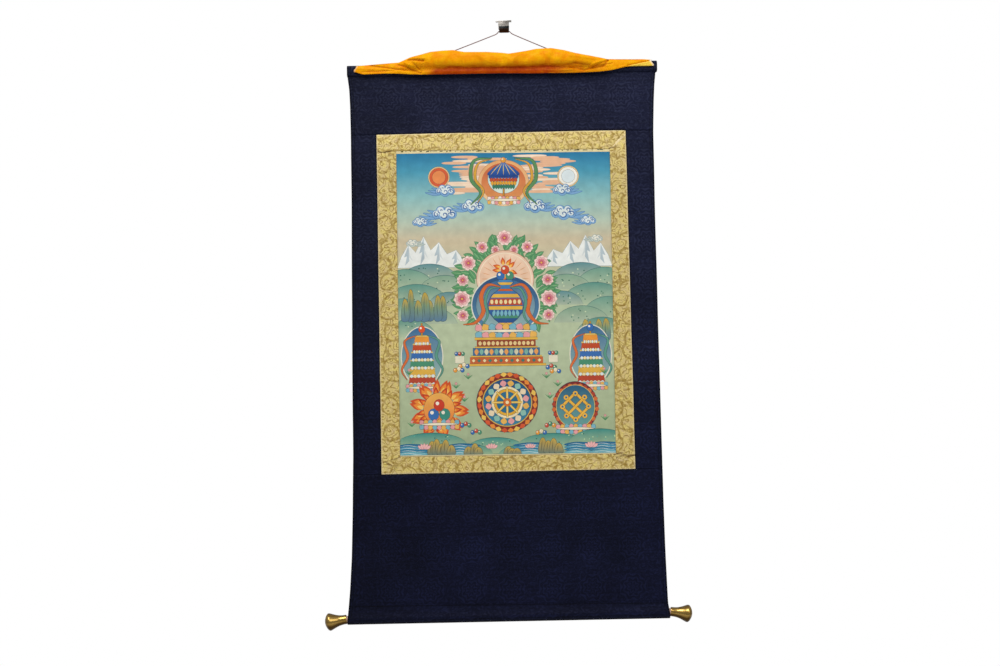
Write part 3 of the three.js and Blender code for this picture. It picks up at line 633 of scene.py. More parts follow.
# Where the dark lines, the painted underside shade and the painted seam shadow run, in from the
# cloth's edge and out from a seam.
EDGE_DARK_AND_UNDERSIDE_SHADE = (2.8 * MM, 4.6 * MM)
STITCHED_AT, STITCHED_HALF = 7.2 * MM, 1.3 * MM
SEAM_SHADOW_WIDTH = (1.0 * MM, 3.0 * MM)
damask, node = new_material("navy_silk_damask")
thread = node("TexCoord", output="UV")
place = node("TexCoord", output="Object")
centre = node("TexVoronoi", {"Vector": thread, "Scale": MEDALLIONS, "Randomness": 0.0},
              output="Position", voronoi_dimensions="2D")
spoke = node("VectorMath", {0: thread, 1: centre}, operation="SUBTRACT")
radius = node("VectorMath", {0: spoke}, output="Value", operation="LENGTH")
spoke_x = node("SeparateXYZ", {0: spoke}, output="X")
spoke_y = node("SeparateXYZ", {0: spoke}, output="Y")
angle = node("Math", {0: spoke_y, 1: spoke_x}, operation="ARCTAN2")
eighths = node("Math", {0: angle, 1: PETALS}, operation="MULTIPLY")
petals = node("Math", {0: eighths}, operation="COSINE")
rippled = node("Math", {0: petals, 1: PETAL_DEPTH, 2: radius}, operation="MULTIPLY_ADD")
ring_turn = node("Math", {0: rippled, 1: RING_TURNS}, operation="MULTIPLY")
rings = node("Math", {0: ring_turn}, operation="SINE")
rings = node("Math", {0: petals, 1: 0.6, 2: rings}, operation="MULTIPLY_ADD")
bend = node("TexNoise", {"Vector": thread, "Scale": 70.0, "Detail": 2.0}, output="Color")
bent = node("VectorMath", {0: bend, 3: 0.022}, operation="SCALE")
bent = node("VectorMath", {0: thread, 1: bent}, operation="ADD")
bent = node("Mapping", {"Vector": bent, "Scale": (0.75, 1.3, 1.0)})
curl = node("TexVoronoi", {"Vector": bent, "Scale": CURLS, "Randomness": 1.0}, output="Distance",
            voronoi_dimensions="2D")
curl_turn = node("Math", {0: curl, 1: CURL_TURNS}, operation="MULTIPLY")
curls = node("Math", {0: curl_turn}, operation="SINE")
inside = node("MapRange", {"Value": radius, "From Min": MEDALLION_RADIUS + 0.5 * MM,
                           "From Max": MEDALLION_RADIUS - 0.5 * MM})
figure = node("Mix", {"Factor": inside, "A": curls, "B": rings})
motif = node("MapRange", {"Value": figure, "From Min": -0.1, "From Max": 0.5},
             interpolation_type="SMOOTHSTEP")
# The floats' painted sheen is patchy: this noise says where it shows.
gleam = node("TexNoise", {"Vector": thread, "Scale": 130.0, "Detail": 3.0})
gleam = node("MapRange", {"Value": gleam, "From Min": 0.35, "From Max": 0.62, "To Min": 0.15})
gleam = node("Math", {0: inside, 1: 0.5, 2: gleam}, operation="MULTIPLY_ADD")
motif = node("Math", {0: motif, 1: gleam}, operation="MULTIPLY")
# Slubs are a thread wide; these are drawn coarser, so that they show from across a room.
slub_place = node("Mapping", {"Vector": thread, "Scale": (14.0, 260.0, 1.0)})
slubs = node("TexNoise", {"Vector": slub_place, "Scale": 1.0, "Detail": 4.0})
patches = node("TexNoise", {"Vector": thread, "Scale": 9.0, "Detail": 4.0})
# Ground and floats are painted lighter towards the top, a painted fall-off of the light.
height = node("SeparateXYZ", {0: place}, output="Z")
lit = node("MapRange", {"Value": height, "From Min": -0.95, "From Max": -0.15})
ground = node("MixRGB", {"Fac": lit, "Color1": "#0c0f24", "Color2": "#181b31"})
# The floats are painted lighter than the ground, a painted sheen.
float_colour = node("MixRGB", {"Fac": lit, "Color1": "#131732", "Color2": "#23273f"})
woven = node("MixRGB", {"Fac": motif, "Color1": ground, "Color2": float_colour})
slub_mask = node("MapRange", {"Value": slubs, "From Min": 0.35, "From Max": 0.75, "To Min": 0.82,
                              "To Max": 1.3})
shade_of = node("MapRange", {"Value": patches, "From Min": 0.3, "From Max": 0.7, "To Min": 0.74,
                             "To Max": 1.2})
tone = node("Math", {0: slub_mask, 1: shade_of}, operation="MULTIPLY")
edges = node("Attribute", output="Vector", attribute_name="edges")
from_edge = node("SeparateXYZ", {0: edges}, output="X")
from_seam = node("SeparateXYZ", {0: edges}, output="Y")
# Darker where the side edges are turned under; a painted shade under the bottom sleeve.
edge_dark_and_underside_shade = node("MapRange", {"Value": from_edge, "From Min": EDGE_DARK_AND_UNDERSIDE_SHADE[0],
                              "From Max": EDGE_DARK_AND_UNDERSIDE_SHADE[1], "To Min": 0.45, "To Max": 1.0})
hem_line = node("Math", {0: from_edge, 1: STITCHED_AT, 2: STITCHED_HALF}, operation="COMPARE")
hem_line = node("Math", {0: hem_line, 1: -0.35, 2: edge_dark_and_underside_shade}, operation="MULTIPLY_ADD")
tone = node("Math", {0: tone, 1: hem_line}, operation="MULTIPLY")
# A painted shadow along the seams: round the gold frame and at the foot seam.
seam_shadow = node("MapRange", {"Value": from_seam, "From Min": SEAM_SHADOW_WIDTH[0], "From Max": SEAM_SHADOW_WIDTH[1],
                              "To Min": 0.4, "To Max": 1.0})
tone = node("Math", {0: tone, 1: seam_shadow}, operation="MULTIPLY")
# The left side is painted darker, a painted fall-off of the light.
painted_light_falloff = node("SeparateXYZ", {0: place}, output="X")
painted_light_falloff = node("MapRange", {"Value": painted_light_falloff, "From Min": -0.3, "From Max": -0.12, "To Min": 0.74})
tone = node("Math", {0: tone, 1: painted_light_falloff}, operation="MULTIPLY")
damask_colour = node("VectorMath", {0: woven, 3: tone}, operation="SCALE")
satin = node("MapRange", {"Value": motif, "To Min": 0.72, "To Max": 0.5})
# Silk threads are 0.2 mm thick at most. Here and in the brocade they are drawn about 1 mm thick.
weave_place = node("Mapping", {"Vector": thread, "Scale": (700.0, 1500.0, 1.0)})
weave = node("TexNoise", {"Vector": weave_place, "Scale": 1.0, "Detail": 2.0})
raised = node("Math", {0: motif, 1: 0.8, 2: weave}, operation="MULTIPLY_ADD")
wrinkles = node("TexNoise", {"Vector": thread, "Scale": 26.0, "Detail": 3.0})
damask_fine = node("Bump", {"Height": raised, "Strength": 0.2, "Distance": 0.2 * MM})
damask_bump = node("Bump", {"Height": wrinkles, "Strength": 0.35, "Distance": 1.2 * MM,
                            "Normal": damask_fine})
surface(damask, {"Base Color": damask_colour, "Roughness": satin, "Normal": damask_bump,
                 "Specular IOR Level": 0.08})
print("damask has", len(damask.node_tree.nodes), "nodes")

# %% [markdown]
# The navy mount is four pieces of silk damask: a top panel, two side strips and a bottom panel.
# The top and bottom panels also go round the rods and are sewn to themselves behind, which
# makes the sleeves. Their sections are drawn as one path and carried across the width.

# %% Sew the navy mount
FRAME_LEFT, FRAME_RIGHT, FRAME_TOP, FRAME_BOTTOM = -259.0, 238.3, -225.4, -899.0
ROD_Z, ROD_HEIGHT, ROD_THICK = -96.5, 18.0, 8.0
SLEEVE_LEFT, SLEEVE_RIGHT = -315.4, 304.8
DOWEL_Z, DOWEL_RADIUS = -1177.4, 7.5
WRAP = 1.8
FOOT_SEAM = (-1152.7, -1160.0)
FOOT_EDGE = (-1186.7, -1189.1)
FOOT_SLACK = 2.4
GROOVE = 1.1
HALF_GAP = 0.15
FACE, BACK = -0.5, 0.55
MOUNT_SPACING = 5
SIDE_WIDTH = 54
# The allowance at the seam with the frame, as depth and distance past the seam.
SEAM_FLAP = np.array([(1.7, 8), (1.7, 4), (1.7, 1), (0.7, -0.1), (-0.1, -0.5)], float)


def arc(centre_z, radius, start, end, steps, stretch=0.0):
    """Points of an arc in y and z, its angles measured from straight down towards the viewer."""
    angle = np.linspace(start, end, steps)
    down = np.cos(angle) * radius
    z = centre_z - down - np.maximum(0, down) * stretch
    return np.column_stack([-np.sin(angle) * radius, z])


def top_section(_):
    """The top panel's path in y and z, the same all across: up the front, round the rod, down."""
    radius = ROD_THICK / 2 + WRAP
    half = (ROD_HEIGHT - ROD_THICK) / 2
    join = math.asin(BACK / radius)
    levels = np.linspace(FRAME_TOP + 1.2, -108.6, 32)
    front = np.vstack([SEAM_FLAP * (1, -1) + (0, FRAME_TOP),
                       np.column_stack([np.full(32, FACE), levels])])
    hem = np.array([(BACK, -109.5), (BACK, -112.0), (BACK, -116.0)])
    return np.vstack([
        front, arc(ROD_Z - half, radius, join, math.pi / 2, 8),
        arc(ROD_Z + half, radius, math.pi / 2, math.pi * 1.5, 15),
        arc(ROD_Z - half, radius, math.pi * 1.5, math.pi * 2 - join, 8), hem,
    ])


def bottom_section(u):
    """The bottom panel's path: down the front, round the dowel, and up to the seam behind."""
    seam = lerp(*FOOT_SEAM, u)
    radius = DOWEL_RADIUS + WRAP
    touch = math.pi - math.acos(radius / (seam - DOWEL_Z))
    levels = np.linspace(FRAME_BOTTOM - 1.2, seam, 70)
    groove = GROOVE * np.exp(-((levels - seam) / 3.0) ** 2)
    front = np.vstack([SEAM_FLAP + (0, FRAME_BOTTOM), np.column_stack([FACE + groove, levels])])
    hem = np.array([(BACK, seam), (BACK, seam + 4), (BACK, seam + 8)])
    sag = lerp(0, FOOT_SLACK, u) / radius
    return np.vstack([front, arc(DOWEL_Z, radius, touch, -touch, 30, sag), hem])


def sleeved_panel(section, edge, inward):
    """A panel with its sleeve, as its section carried from one side edge to the other."""
    width = SLEEVE_RIGHT - SLEEVE_LEFT
    across, behind = stations(width, MOUNT_SPACING, HEM, HEM)
    points, uv = [], []
    for place, turned in zip(across, behind):
        path = section(place / width)
        tangent = np.gradient(path, axis=0)
        tangent /= np.linalg.norm(tangent, axis=1)[:, None]
        turned = turned * inward
        y, z = path[:, 0] + tangent[:, 1] * turned, path[:, 1] - tangent[:, 0] * turned
        x = lerp(edge(path[:, 1], "left"), edge(path[:, 1], "right"), place / width)
        points.append(np.column_stack([x, hung_depth(x, z) + y, z]))
        run = np.concatenate([[0], np.cumsum(np.hypot(*np.diff(path, axis=0).T))])
        uv.append(np.column_stack([np.full(len(run), place), run]))
    return sheet_from(np.stack(points, axis=1), np.stack(uv, axis=1), CLOTH)


def places(piece):
    """The piece's points in mm, as three rows: x, y and z."""
    points = np.empty(len(piece.data.vertices) * 3)
    piece.data.vertices.foreach_get("co", points)
    return points.reshape(-1, 3).T / MM


def mark(piece, name, *rows):
    """Keeps up to three numbers on each point of the piece, for its material."""
    values = np.zeros((len(piece.data.vertices), 3), dtype=np.float32)
    for column, row in enumerate(rows):
        values[:, column] = row
    kept = piece.data.attributes.new(name, "FLOAT_VECTOR", "POINT")
    kept.data.foreach_set("vector", values.ravel())


def mark_edges(piece):
    """How far in each point lies from the mount's edges, and how far from its seams."""
    x, _, z = places(piece)
    share = (x - SLEEVE_LEFT) / (SLEEVE_RIGHT - SLEEVE_LEFT)
    inward = np.minimum(x - sleeve_edge(z, "left"), sleeve_edge(z, "right") - x)
    inward = np.minimum(inward, z - lerp(*FOOT_EDGE, share))
    aside = np.maximum(np.maximum(FRAME_LEFT - x, x - FRAME_RIGHT), 0)
    beyond = np.maximum(np.maximum(FRAME_BOTTOM - z, z - FRAME_TOP), 0)
    seam = np.minimum(np.hypot(aside, beyond), np.abs(z - lerp(*FOOT_SEAM, share)) + 1.0)
    mark(piece, "edges", inward * MM, seam * MM)


def sleeve_edge(z, side):
    """The side edge of the top panel, which is straight along the rod."""
    along_rod = SLEEVE_LEFT if side == "left" else SLEEVE_RIGHT
    return np.where(z > -108.2, along_rod, mount_edge(z, side))


def side_panel(side, left_edge, right_edge):
    """A side strip, between the mount's edge and the gold frame."""
    def place(u, v):
        z = lerp(FRAME_TOP - HALF_GAP, FRAME_BOTTOM + HALF_GAP, v)
        if side == "left":
            return lerp(mount_edge(z, "left"), FRAME_LEFT - HALF_GAP, u), z
        return lerp(FRAME_RIGHT + HALF_GAP, mount_edge(z, "right"), u), z
    return hung_piece(place, SIDE_WIDTH, FRAME_TOP - FRAME_BOTTOM, MOUNT_SPACING,
                      (left_edge, right_edge, PLAIN, PLAIN), FACE)


top_panel = sleeved_panel(top_section, sleeve_edge, 1)
bottom_panel = sleeved_panel(bottom_section, mount_edge, -1)
left_panel = side_panel("left", HEM, DEEPER)
right_panel = side_panel("right", DEEPER, HEM)
for panel, side, plain_node in ((top_panel, "top", "top_panel"),
                                (bottom_panel, "bottom", "bottom_panel"),
                                (left_panel, "left", "side_strip_left"),
                                (right_panel, "right", "side_strip_right")):
    mark_edges(panel)
    finish_piece(panel, "damask_" + side, damask, plain_node)

# %% [markdown]
# The brocade is pale gold silk with cloud scrolls outlined in an olive-gold thread. The big
# curls are rings round the centres of a cell texture, the small ones between them are level
# lines of noise, and both are bent by a slower noise so that no two are alike. Each strip keeps
# its folds on its points for painted light: painted shade in the troughs, and painted highlights
# on the ridges and outer rims. The lower strips are painted darker than the top one, a painted
# fall-off of the light from above.

# %% Weave the gold brocade
SCROLL_CURLS = 27.0  # to a metre, so one every 37 mm
SCROLL_LINES = 74.0  # to a metre, so one every 14 mm
BENT_BY = 12.0 * MM
brocade, node = new_material("gold_silk_brocade")
thread = node("TexCoord", output="UV")
bend = node("TexNoise", {"Vector": thread, "Scale": 55.0, "Detail": 3.0}, output="Color")
bent = node("VectorMath", {0: bend, 3: BENT_BY}, operation="SCALE")
bent = node("VectorMath", {0: thread, 1: bent}, operation="ADD")
curl = node("TexVoronoi", {"Vector": bent, "Scale": SCROLL_CURLS, "Randomness": 0.75},
            output="Distance", voronoi_dimensions="2D")
off_ring = node("Math", {0: curl, 1: 0.42}, operation="SUBTRACT")
off_ring = node("Math", {0: off_ring}, operation="ABSOLUTE")
ring = node("MapRange", {"Value": off_ring, "From Min": 0.075, "From Max": 0.03},
            interpolation_type="SMOOTHSTEP")
scroll = node("TexNoise", {"Vector": bent, "Scale": SCROLL_LINES, "Detail": 0.0})
nested = node("Math", {0: scroll, 1: 5.0}, operation="MULTIPLY")
nested = node("Math", {0: nested, 1: 0.5}, operation="PINGPONG")
scroll_line = node("MapRange", {"Value": nested, "From Min": 0.2, "From Max": 0.09},
                   interpolation_type="SMOOTHSTEP")
outline = node("Math", {0: ring, 1: scroll_line}, operation="MAXIMUM")
worn = node("TexNoise", {"Vector": thread, "Scale": 160.0, "Detail": 3.0})
worn = node("MapRange", {"Value": worn, "From Min": 0.3, "From Max": 0.62, "To Min": 0.35})
outline = node("Math", {0: outline, 1: worn}, operation="MULTIPLY")
patches = node("TexNoise", {"Vector": thread, "Scale": 110.0, "Detail": 4.0})
patches = node("MapRange", {"Value": patches, "From Min": 0.25, "From Max": 0.75})
gold = node("MixRGB", {"Fac": patches, "Color1": "#dcc18c", "Color2": "#ecd773"})
scrolled = node("MixRGB", {"Fac": outline, "Color1": gold, "Color2": "#a48430"})
speck_and_falloff = node("TexNoise", {"Vector": thread, "Scale": 420.0, "Detail": 2.0})
speck_and_falloff = node("MapRange", {"Value": speck_and_falloff, "From Min": 0.3, "From Max": 0.7, "To Min": 0.8,
                          "To Max": 1.18})
# The lower strips are painted darker, a painted fall-off of the light from above.
height = node("TexCoord", output="Object")
height = node("SeparateXYZ", {0: height}, output="Z")
painted_light_falloff = node("MapRange", {"Value": height, "From Min": -0.3, "From Max": -0.24, "To Min": 0.87})
speck_and_falloff = node("Math", {0: speck_and_falloff, 1: painted_light_falloff}, operation="MULTIPLY")
scrolled = node("VectorMath", {0: scrolled, 3: speck_and_falloff}, operation="SCALE")
# Painted shade in the fold troughs, painted highlights on the ridges and outer rims.
painted_fold_light = node("Attribute", output="Vector", attribute_name="folds")
painted_fold_shade = node("SeparateXYZ", {0: painted_fold_light}, output="X")
painted_fold_highlight = node("SeparateXYZ", {0: painted_fold_light}, output="Y")
scrolled = node("MixRGB", {"Fac": painted_fold_highlight, "Color1": scrolled, "Color2": "#f6e2b4"})
scrolled = node("MixRGB", {"Fac": painted_fold_shade, "Color1": scrolled, "Color2": "#5c3c14"})
weave_place = node("Mapping", {"Vector": thread, "Scale": (1400.0, 700.0, 1.0)})
weave = node("TexNoise", {"Vector": weave_place, "Scale": 1.0, "Detail": 2.0})
raised = node("Math", {0: outline, 1: 1.2, 2: weave}, operation="MULTIPLY_ADD")
brocade_bump = node("Bump", {"Height": raised, "Strength": 0.35, "Distance": 0.3 * MM})
satin = node("MapRange", {"Value": patches, "To Min": 0.42, "To Max": 0.6})
surface(brocade, {"Base Color": scrolled, "Normal": brocade_bump, "Roughness": satin,
                  "Specular IOR Level": 0.35, "Sheen Weight": 0.2})
print("brocade has", len(brocade.node_tree.nodes), "nodes")

# %% [markdown]
# The gold frame is four strips of brocade, with their edges turned under, so each edge is a
# small roll, with a painted highlight. They meet in butt seams at three corners and in a mitre at
# the fourth, and the picture inside them is a little askew, so the strips taper.

# %% Sew the gold brocade frame
PIC_TL, PIC_TR = (-220.3, -259.3), (205.6, -263.2)
PIC_BR, PIC_BL = (201.0, -869.2), (-222.3, -865.7)
SEAM_TL, SEAM_BL, SEAM_BR = (FRAME_LEFT, -263.0), (FRAME_LEFT, -878.0), (FRAME_RIGHT, -873.5)
OUT_TR = (FRAME_RIGHT, FRAME_TOP)
GOLD_FACE = -0.75
GOLD_SPACING = 2.4
STRIP_SIZES = {"top": (FRAME_RIGHT - FRAME_LEFT, 36), "bottom": (FRAME_RIGHT - FRAME_LEFT, 28),
               "left": (38, 609), "right": (37, 620)}


def four_cornered(top_left, top_right, bottom_right, bottom_left):
    """Gives x and z for shares across and down a shape with four corners."""
    def place(u, v):
        top = [lerp(left, right, u) for left, right in zip(top_left, top_right)]
        bottom = [lerp(left, right, u) for left, right in zip(bottom_left, bottom_right)]
        return [(1 - v) * above + v * below for above, below in zip(top, bottom)]
    return place


def across_strip(upper, lower, right_top, right_bottom):
    """The same for a strip between an upper and a lower broken line."""
    def place(u, v):
        x = lerp(FRAME_LEFT, lerp(right_top, right_bottom, v), u)
        top = np.interp(x, *zip(*upper))
        bottom = np.interp(x, *zip(*lower))
        return x, lerp(top, bottom, v)
    return place


PAINTED_GOLD_FOLDS = [
    # x and z of both ends, width and depth: painted shade in a trough, painted highlight on a ridge
    (-256, -259, -250, -261, 2.4, 1), (-246, -262, -228, -258, 2.4, 1),
    (-238, -268, -227, -269, 2.2, 0.7), (204, -262, 219, -258, 2.4, 1),
    (212, -258, 229, -242, 2.6, -0.9), (217, -249, 237, -236, 2.4, -0.7),
    (214, -250, 226, -239, 2.2, 0.6), (-252, -874, -238, -884, 2.4, 0.9),
    (-240, -894, -226, -884, 2.4, 0.7), (-236, -872, -222, -866, 2.4, 0.7),
    (196, -870, 214, -867, 2.6, 1), (202, -875, 221, -871, 2.4, 0.9),
    (222, -875, 238, -872, 2.4, 1), (228, -860, 237, -864, 2.2, 0.8),
    (206, -883, 224, -879, 2.6, -0.7),
]
STRIPS = {
    "top": across_strip([(FRAME_LEFT, FRAME_TOP), (FRAME_RIGHT, FRAME_TOP)],
                        [SEAM_TL, PIC_TL, PIC_TR], FRAME_RIGHT, PIC_TR[0]),
    "bottom": across_strip([SEAM_BL, PIC_BL, PIC_BR, SEAM_BR],
                           [(FRAME_LEFT, FRAME_BOTTOM), (FRAME_RIGHT, FRAME_BOTTOM)],
                           FRAME_RIGHT, FRAME_RIGHT),
    "left": four_cornered(SEAM_TL, PIC_TL, PIC_BL, SEAM_BL),
    "right": four_cornered(PIC_TR, OUT_TR, SEAM_BR, PIC_BR),
}
for side, place in STRIPS.items():
    width, height = STRIP_SIZES[side]
    strip = hung_piece(place, width, height, GOLD_SPACING, (ROLLED,) * 4, GOLD_FACE)
    x, _, z = places(strip)
    # These folds are only painted: shade in the troughs, highlights on the ridges and outer rims.
    folded = fold_depth(x, z, PAINTED_GOLD_FOLDS)
    outer = np.minimum(np.minimum(x - FRAME_LEFT, FRAME_RIGHT - x),
                       np.minimum(FRAME_TOP - z, z - FRAME_BOTTOM))
    painted_rim_highlight = 0.55 * smooth(2.6, 1.2, outer)
    painted_ridge_highlight = 0.7 * smooth(-0.1, -0.9, folded)
    mark(strip, "folds", 0.8 * smooth(0.15, 0.9, folded), np.maximum(painted_ridge_highlight, painted_rim_highlight))
    finish_piece(strip, "brocade_" + side, brocade, "gold_" + side)

# %% [markdown]
# The picture is printed from a painting in mineral colours: flat shapes, one over the other, each
# with a fine darker line round it. It is drawn here in the same order, from the sky forwards, in
# millimetres from the picture's lower left corner. The design is a new one made of traditional
# ornaments: sun, moon and parasol, a treasure vase among peonies, victory banners, a wheel, an
# endless knot and jewels, between snow peaks and water.

# %% Drawing helpers for the picture
PIC_WIDTH, PIC_HEIGHT = 424.0, 606.0
MIDDLE = PIC_WIDTH / 2
# Widths of the pale unprinted margin that shows inside the gold frame.
MARGIN = {"left": 0.4, "right": 0.4, "bottom": 2.6, "top": 5.6}
INK = "#33434f"
shapes = []


def paint(points, colour, line=None, width=0.6):
    """Lays a shape on top of the picture, on a slightly larger one in the line's colour."""
    points = np.asarray(points, float)
    if line:
        along = np.roll(points, -1, axis=0) - np.roll(points, 1, axis=0)
        along /= np.maximum(np.linalg.norm(along, axis=1), 1e-6)[:, None]
        x, y = points.T
        turn = np.sign(np.sum(x * np.roll(y, -1) - y * np.roll(x, -1)))
        shapes.append((points + along[:, ::-1] * (turn, -turn) * width, line))
    shapes.append((points, colour))


def oval(cx, cy, rx, ry=None, *, count):
    angle = np.linspace(0, 2 * math.pi, count, endpoint=False)
    return np.column_stack([cx + rx * np.cos(angle), cy + (ry or rx) * np.sin(angle)])


def around(cx, cy, degrees, reach, rise=None):
    """The place at some reach from another, in a direction in degrees."""
    turn = math.radians(degrees)
    return cx + reach * math.cos(turn), cy + (rise or reach) * math.sin(turn)


def beside(side, places):
    """Places given by their distance from the upright middle line, on the left or on the right."""
    return [(MIDDLE + side * away, y) for away, y in places]


def box(left, bottom, right, top):
    return np.array([(left, bottom), (right, bottom), (right, top), (left, top)], float)


def soft(points, steps=5):
    """A smooth closed curve through a few points."""
    b = np.asarray(points, float)
    a, c, d = np.roll(b, 1, axis=0), np.roll(b, -1, axis=0), np.roll(b, -2, axis=0)
    t = np.linspace(0, 1, steps, endpoint=False)[:, None, None]
    return curve_through(a, b, c, d, t).transpose(1, 0, 2).reshape(-1, 2)


def ribbon(points, width, colour, line=None, taper=1.0, step=2.6):
    """A brush stroke along a smooth line, which thins towards its ends."""
    route, at = smooth_route(points, step)
    along = np.gradient(route, axis=0)
    along /= np.linalg.norm(along, axis=1)[:, None]
    swell = (1 - taper) + taper * np.sin(np.pi * (0.04 + 0.92 * at / at[-1]))
    side = np.column_stack([-along[:, 1], along[:, 0]]) * (width / 2 * swell)[:, None]
    paint(np.vstack([route + side, (route - side)[::-1]]), colour, line)


def petal(cx, cy, angle, length, width, fullness):
    """A petal or leaf that grows from a point, at an angle in degrees."""
    t = np.linspace(0, 1, 6)
    half = width / 2 * np.sin(np.pi * t ** fullness)
    x = np.concatenate([t, t[::-1][1:-1]]) * length
    y = np.concatenate([half, -half[::-1][1:-1]])
    turn = math.radians(angle)
    return np.column_stack([cx + x * math.cos(turn) - y * math.sin(turn),
                            cy + x * math.sin(turn) + y * math.cos(turn)])


def curl(cx, cy, radius, start, turns, width, colour):
    """A scroll that winds inwards."""
    t = np.linspace(0, 1, 10)
    angle = math.radians(start) + 2 * math.pi * turns * t
    reach = radius * (1 - 0.85 * t)
    points = np.column_stack([cx + reach * np.cos(angle), cy + reach * np.sin(angle)])
    ribbon(points, width, colour, taper=0.5, step=1.8)


def mirrored(draw):
    """Draws the same on the left and on the right."""
    for side in (-1, 1):
        draw(side)


# %% Ornaments for the picture
BLUES = ("#2f5f9e", "#7fa9cf", "#dfe8e4")
PEACHES = ("#c98f6c", "#eab893", "#f6dcc0")
JEWELS = ["#3b6fae", "#c8503c", "#4f9070", "#e69a3c", "#e8d9b0"]


def cloud(cx, cy, size, colours, flow):
    """A scroll cloud: heaped lobes with curls, and tails that stream to one side."""
    dark, mid, pale = colours
    for dy, reach in ((-0.3, 3.6), (0.1, 3.0), (0.5, 2.4)):
        tail = [(cx, cy + dy * size), (cx + flow * reach * 0.5 * size, cy + (dy - 0.25) * size),
                (cx + flow * reach * size, cy + (dy + 0.1) * size)]
        ribbon(tail, 0.42 * size, mid, dark)
    lobes = [(-1.1, 0, 0.62), (1.1, 0, 0.62), (-0.5, 0.5, 0.66), (0.6, 0.5, 0.6), (0, -0.1, 0.85)]
    for dx, dy, r in lobes:
        paint(oval(cx + dx * size, cy + dy * size, r * size, count=16), mid, dark)
    for dx, dy, r in lobes:
        paint(oval(cx + (dx - 0.06) * size, cy + (dy + 0.1) * size, r * size * 0.7, count=14), pale)
        curl(cx + dx * size, cy + dy * size, r * size * 0.66, 200 + 90 * dx, 1.1, 0.16 * size, dark)


def peony(cx, cy, size, turn):
    layers = [(9, 1.0, 0.62, "#f4dcd0"), (8, 0.76, 0.52, "#ecb9b4"), (6, 0.52, 0.42, "#d98791"),
              (5, 0.3, 0.28, "#c45c6c")]
    for count, reach, width, colour in layers:
        for k in range(count):
            angle = turn + 360 * k / count + 40 * reach
            paint(petal(cx, cy, angle, size * reach, size * width, 1.9), colour, "#b8606a", 0.4)
    paint(oval(cx, cy, size * 0.12, count=8), "#e8c04c")


def leaf(cx, cy, angle, length):
    paint(petal(cx, cy, angle, length, length * 0.42, 0.9), "#5e9a68", "#2f6347", 0.5)
    ribbon([around(cx, cy, angle, 1), around(cx, cy, angle, length * 0.9)], 0.8, "#a9cf9a", step=4)


def lotus_seat(cx, cy, half, colours=("#e8a0a0", "#e9b45a", "#7db6c4")):
    """Two rows of petals, the lower ones hanging, the upper ones standing."""
    for row, direction in ((0, -90), (1, 90)):
        for k in range(-4, 5):
            angle = direction - (k * 9 if direction > 0 else -k * 9)
            colour = colours[(k + row) % len(colours)]
            paint(petal(cx + k * half / 4.6, cy, angle, half * 0.3, half * 0.27, 1.1),
                  colour, INK, 0.5)
    paint(soft([(cx - half, cy + 1), (cx, cy - 1.5), (cx + half, cy + 1), (cx, cy + 3.5)]),
          "#f2e6c8", INK)


def jewel(cx, cy, size, colour):
    paint(oval(cx, cy, size, size * 1.1, count=12), colour, INK, 0.5)
    paint(oval(cx - size * 0.3, cy + size * 0.35, size * 0.35, count=8), "#f3ead6")


def flames(cx, cy, radius, count, length, colours=("#d2552e", "#ee8f3a", "#f7c765")):
    for size, colour in zip((1.0, 0.74, 0.48), colours):
        for k in range(count):
            angle = 90 + 360 * (k + 0.5) / count
            lean = 14 if k % 2 else -14
            paint(petal(*around(cx, cy, angle, radius), angle + lean, length * size,
                        length * size * 0.5, 0.75), colour)


def wheel(cx, cy, radius):
    paint(oval(cx, cy, radius, count=40), "#e0a93a", INK)
    paint(oval(cx, cy, radius * 0.8, count=36), "#2f6f8e", INK, 0.4)
    for k in range(8):
        ribbon([(cx, cy), around(cx, cy, 45 * k, radius * 1.12)], radius * 0.13, "#efcb6a",
               "#8a5a24", taper=0.2, step=6)
    paint(oval(cx, cy, radius * 0.3, count=20), "#d9702e", INK, 0.4)
    paint(oval(cx, cy, radius * 0.13, count=12), "#f4e2b0")


def ring_of_petals(cx, cy, radius, count, length, colours):
    for k in range(count):
        angle = 360 * (k + 0.5) / count
        paint(petal(*around(cx, cy, angle, radius), angle, length, 2.2 * math.pi * radius / count,
                    1.2), colours[k % len(colours)], INK, 0.4)


# %% Paint the sky and the land
SKY = [(606, "#2273a0"), (560, "#4f9db5"), (515, "#8dbfbf"), (465, "#b7c8b4"), (425, "#cfbf9f"),
       (380, "#c9c3a2"), (330, "#bcc9a6"), (150, "#b4c09c"), (60, "#a9b790"), (0, "#9aab88")]
art_left, art_right = MARGIN["left"], PIC_WIDTH - MARGIN["right"]
art_bottom, art_top = MARGIN["bottom"], PIC_HEIGHT - MARGIN["top"]
MARGIN_COLOUR = "#e4d3a0"
for edge in (-8, -1, 0.0, 0.2, 0.4):
    paint(box(edge, edge, PIC_WIDTH - edge, PIC_HEIGHT - edge), MARGIN_COLOUR)
draw = random.Random(11)
# Broken dark marks run along the margin's upper edge.
x = 12.0
while x < PIC_WIDTH - 14:
    paint(oval(x, draw.uniform(603.6, 605.2), draw.uniform(0.8, 4.0), draw.uniform(0.6, 1.4),
               count=8), draw.choice(("#3c4424", "#6f6a34", "#2f3a2a")))
    x += draw.uniform(2.5, 13)
art_starts = len(shapes)
paint(box(art_left, art_bottom, art_right, art_top), SKY)

for index in range(38):
    side = 1 - 2 * (index % 2)
    x, y = MIDDLE + side * draw.uniform(30, 112), 594 - 2.0 * index
    length = draw.uniform(18, 44)
    paint(soft([(x - length, y), (x - length * 0.6, y + 2.2), (x + length * 0.6, y + 2.4),
                (x + length, y), (x + length * 0.5, y - 2.4), (x - length * 0.6, y - 2)], 3),
          draw.choice(PEACHES[1:]), "#d9a585", 0.3)


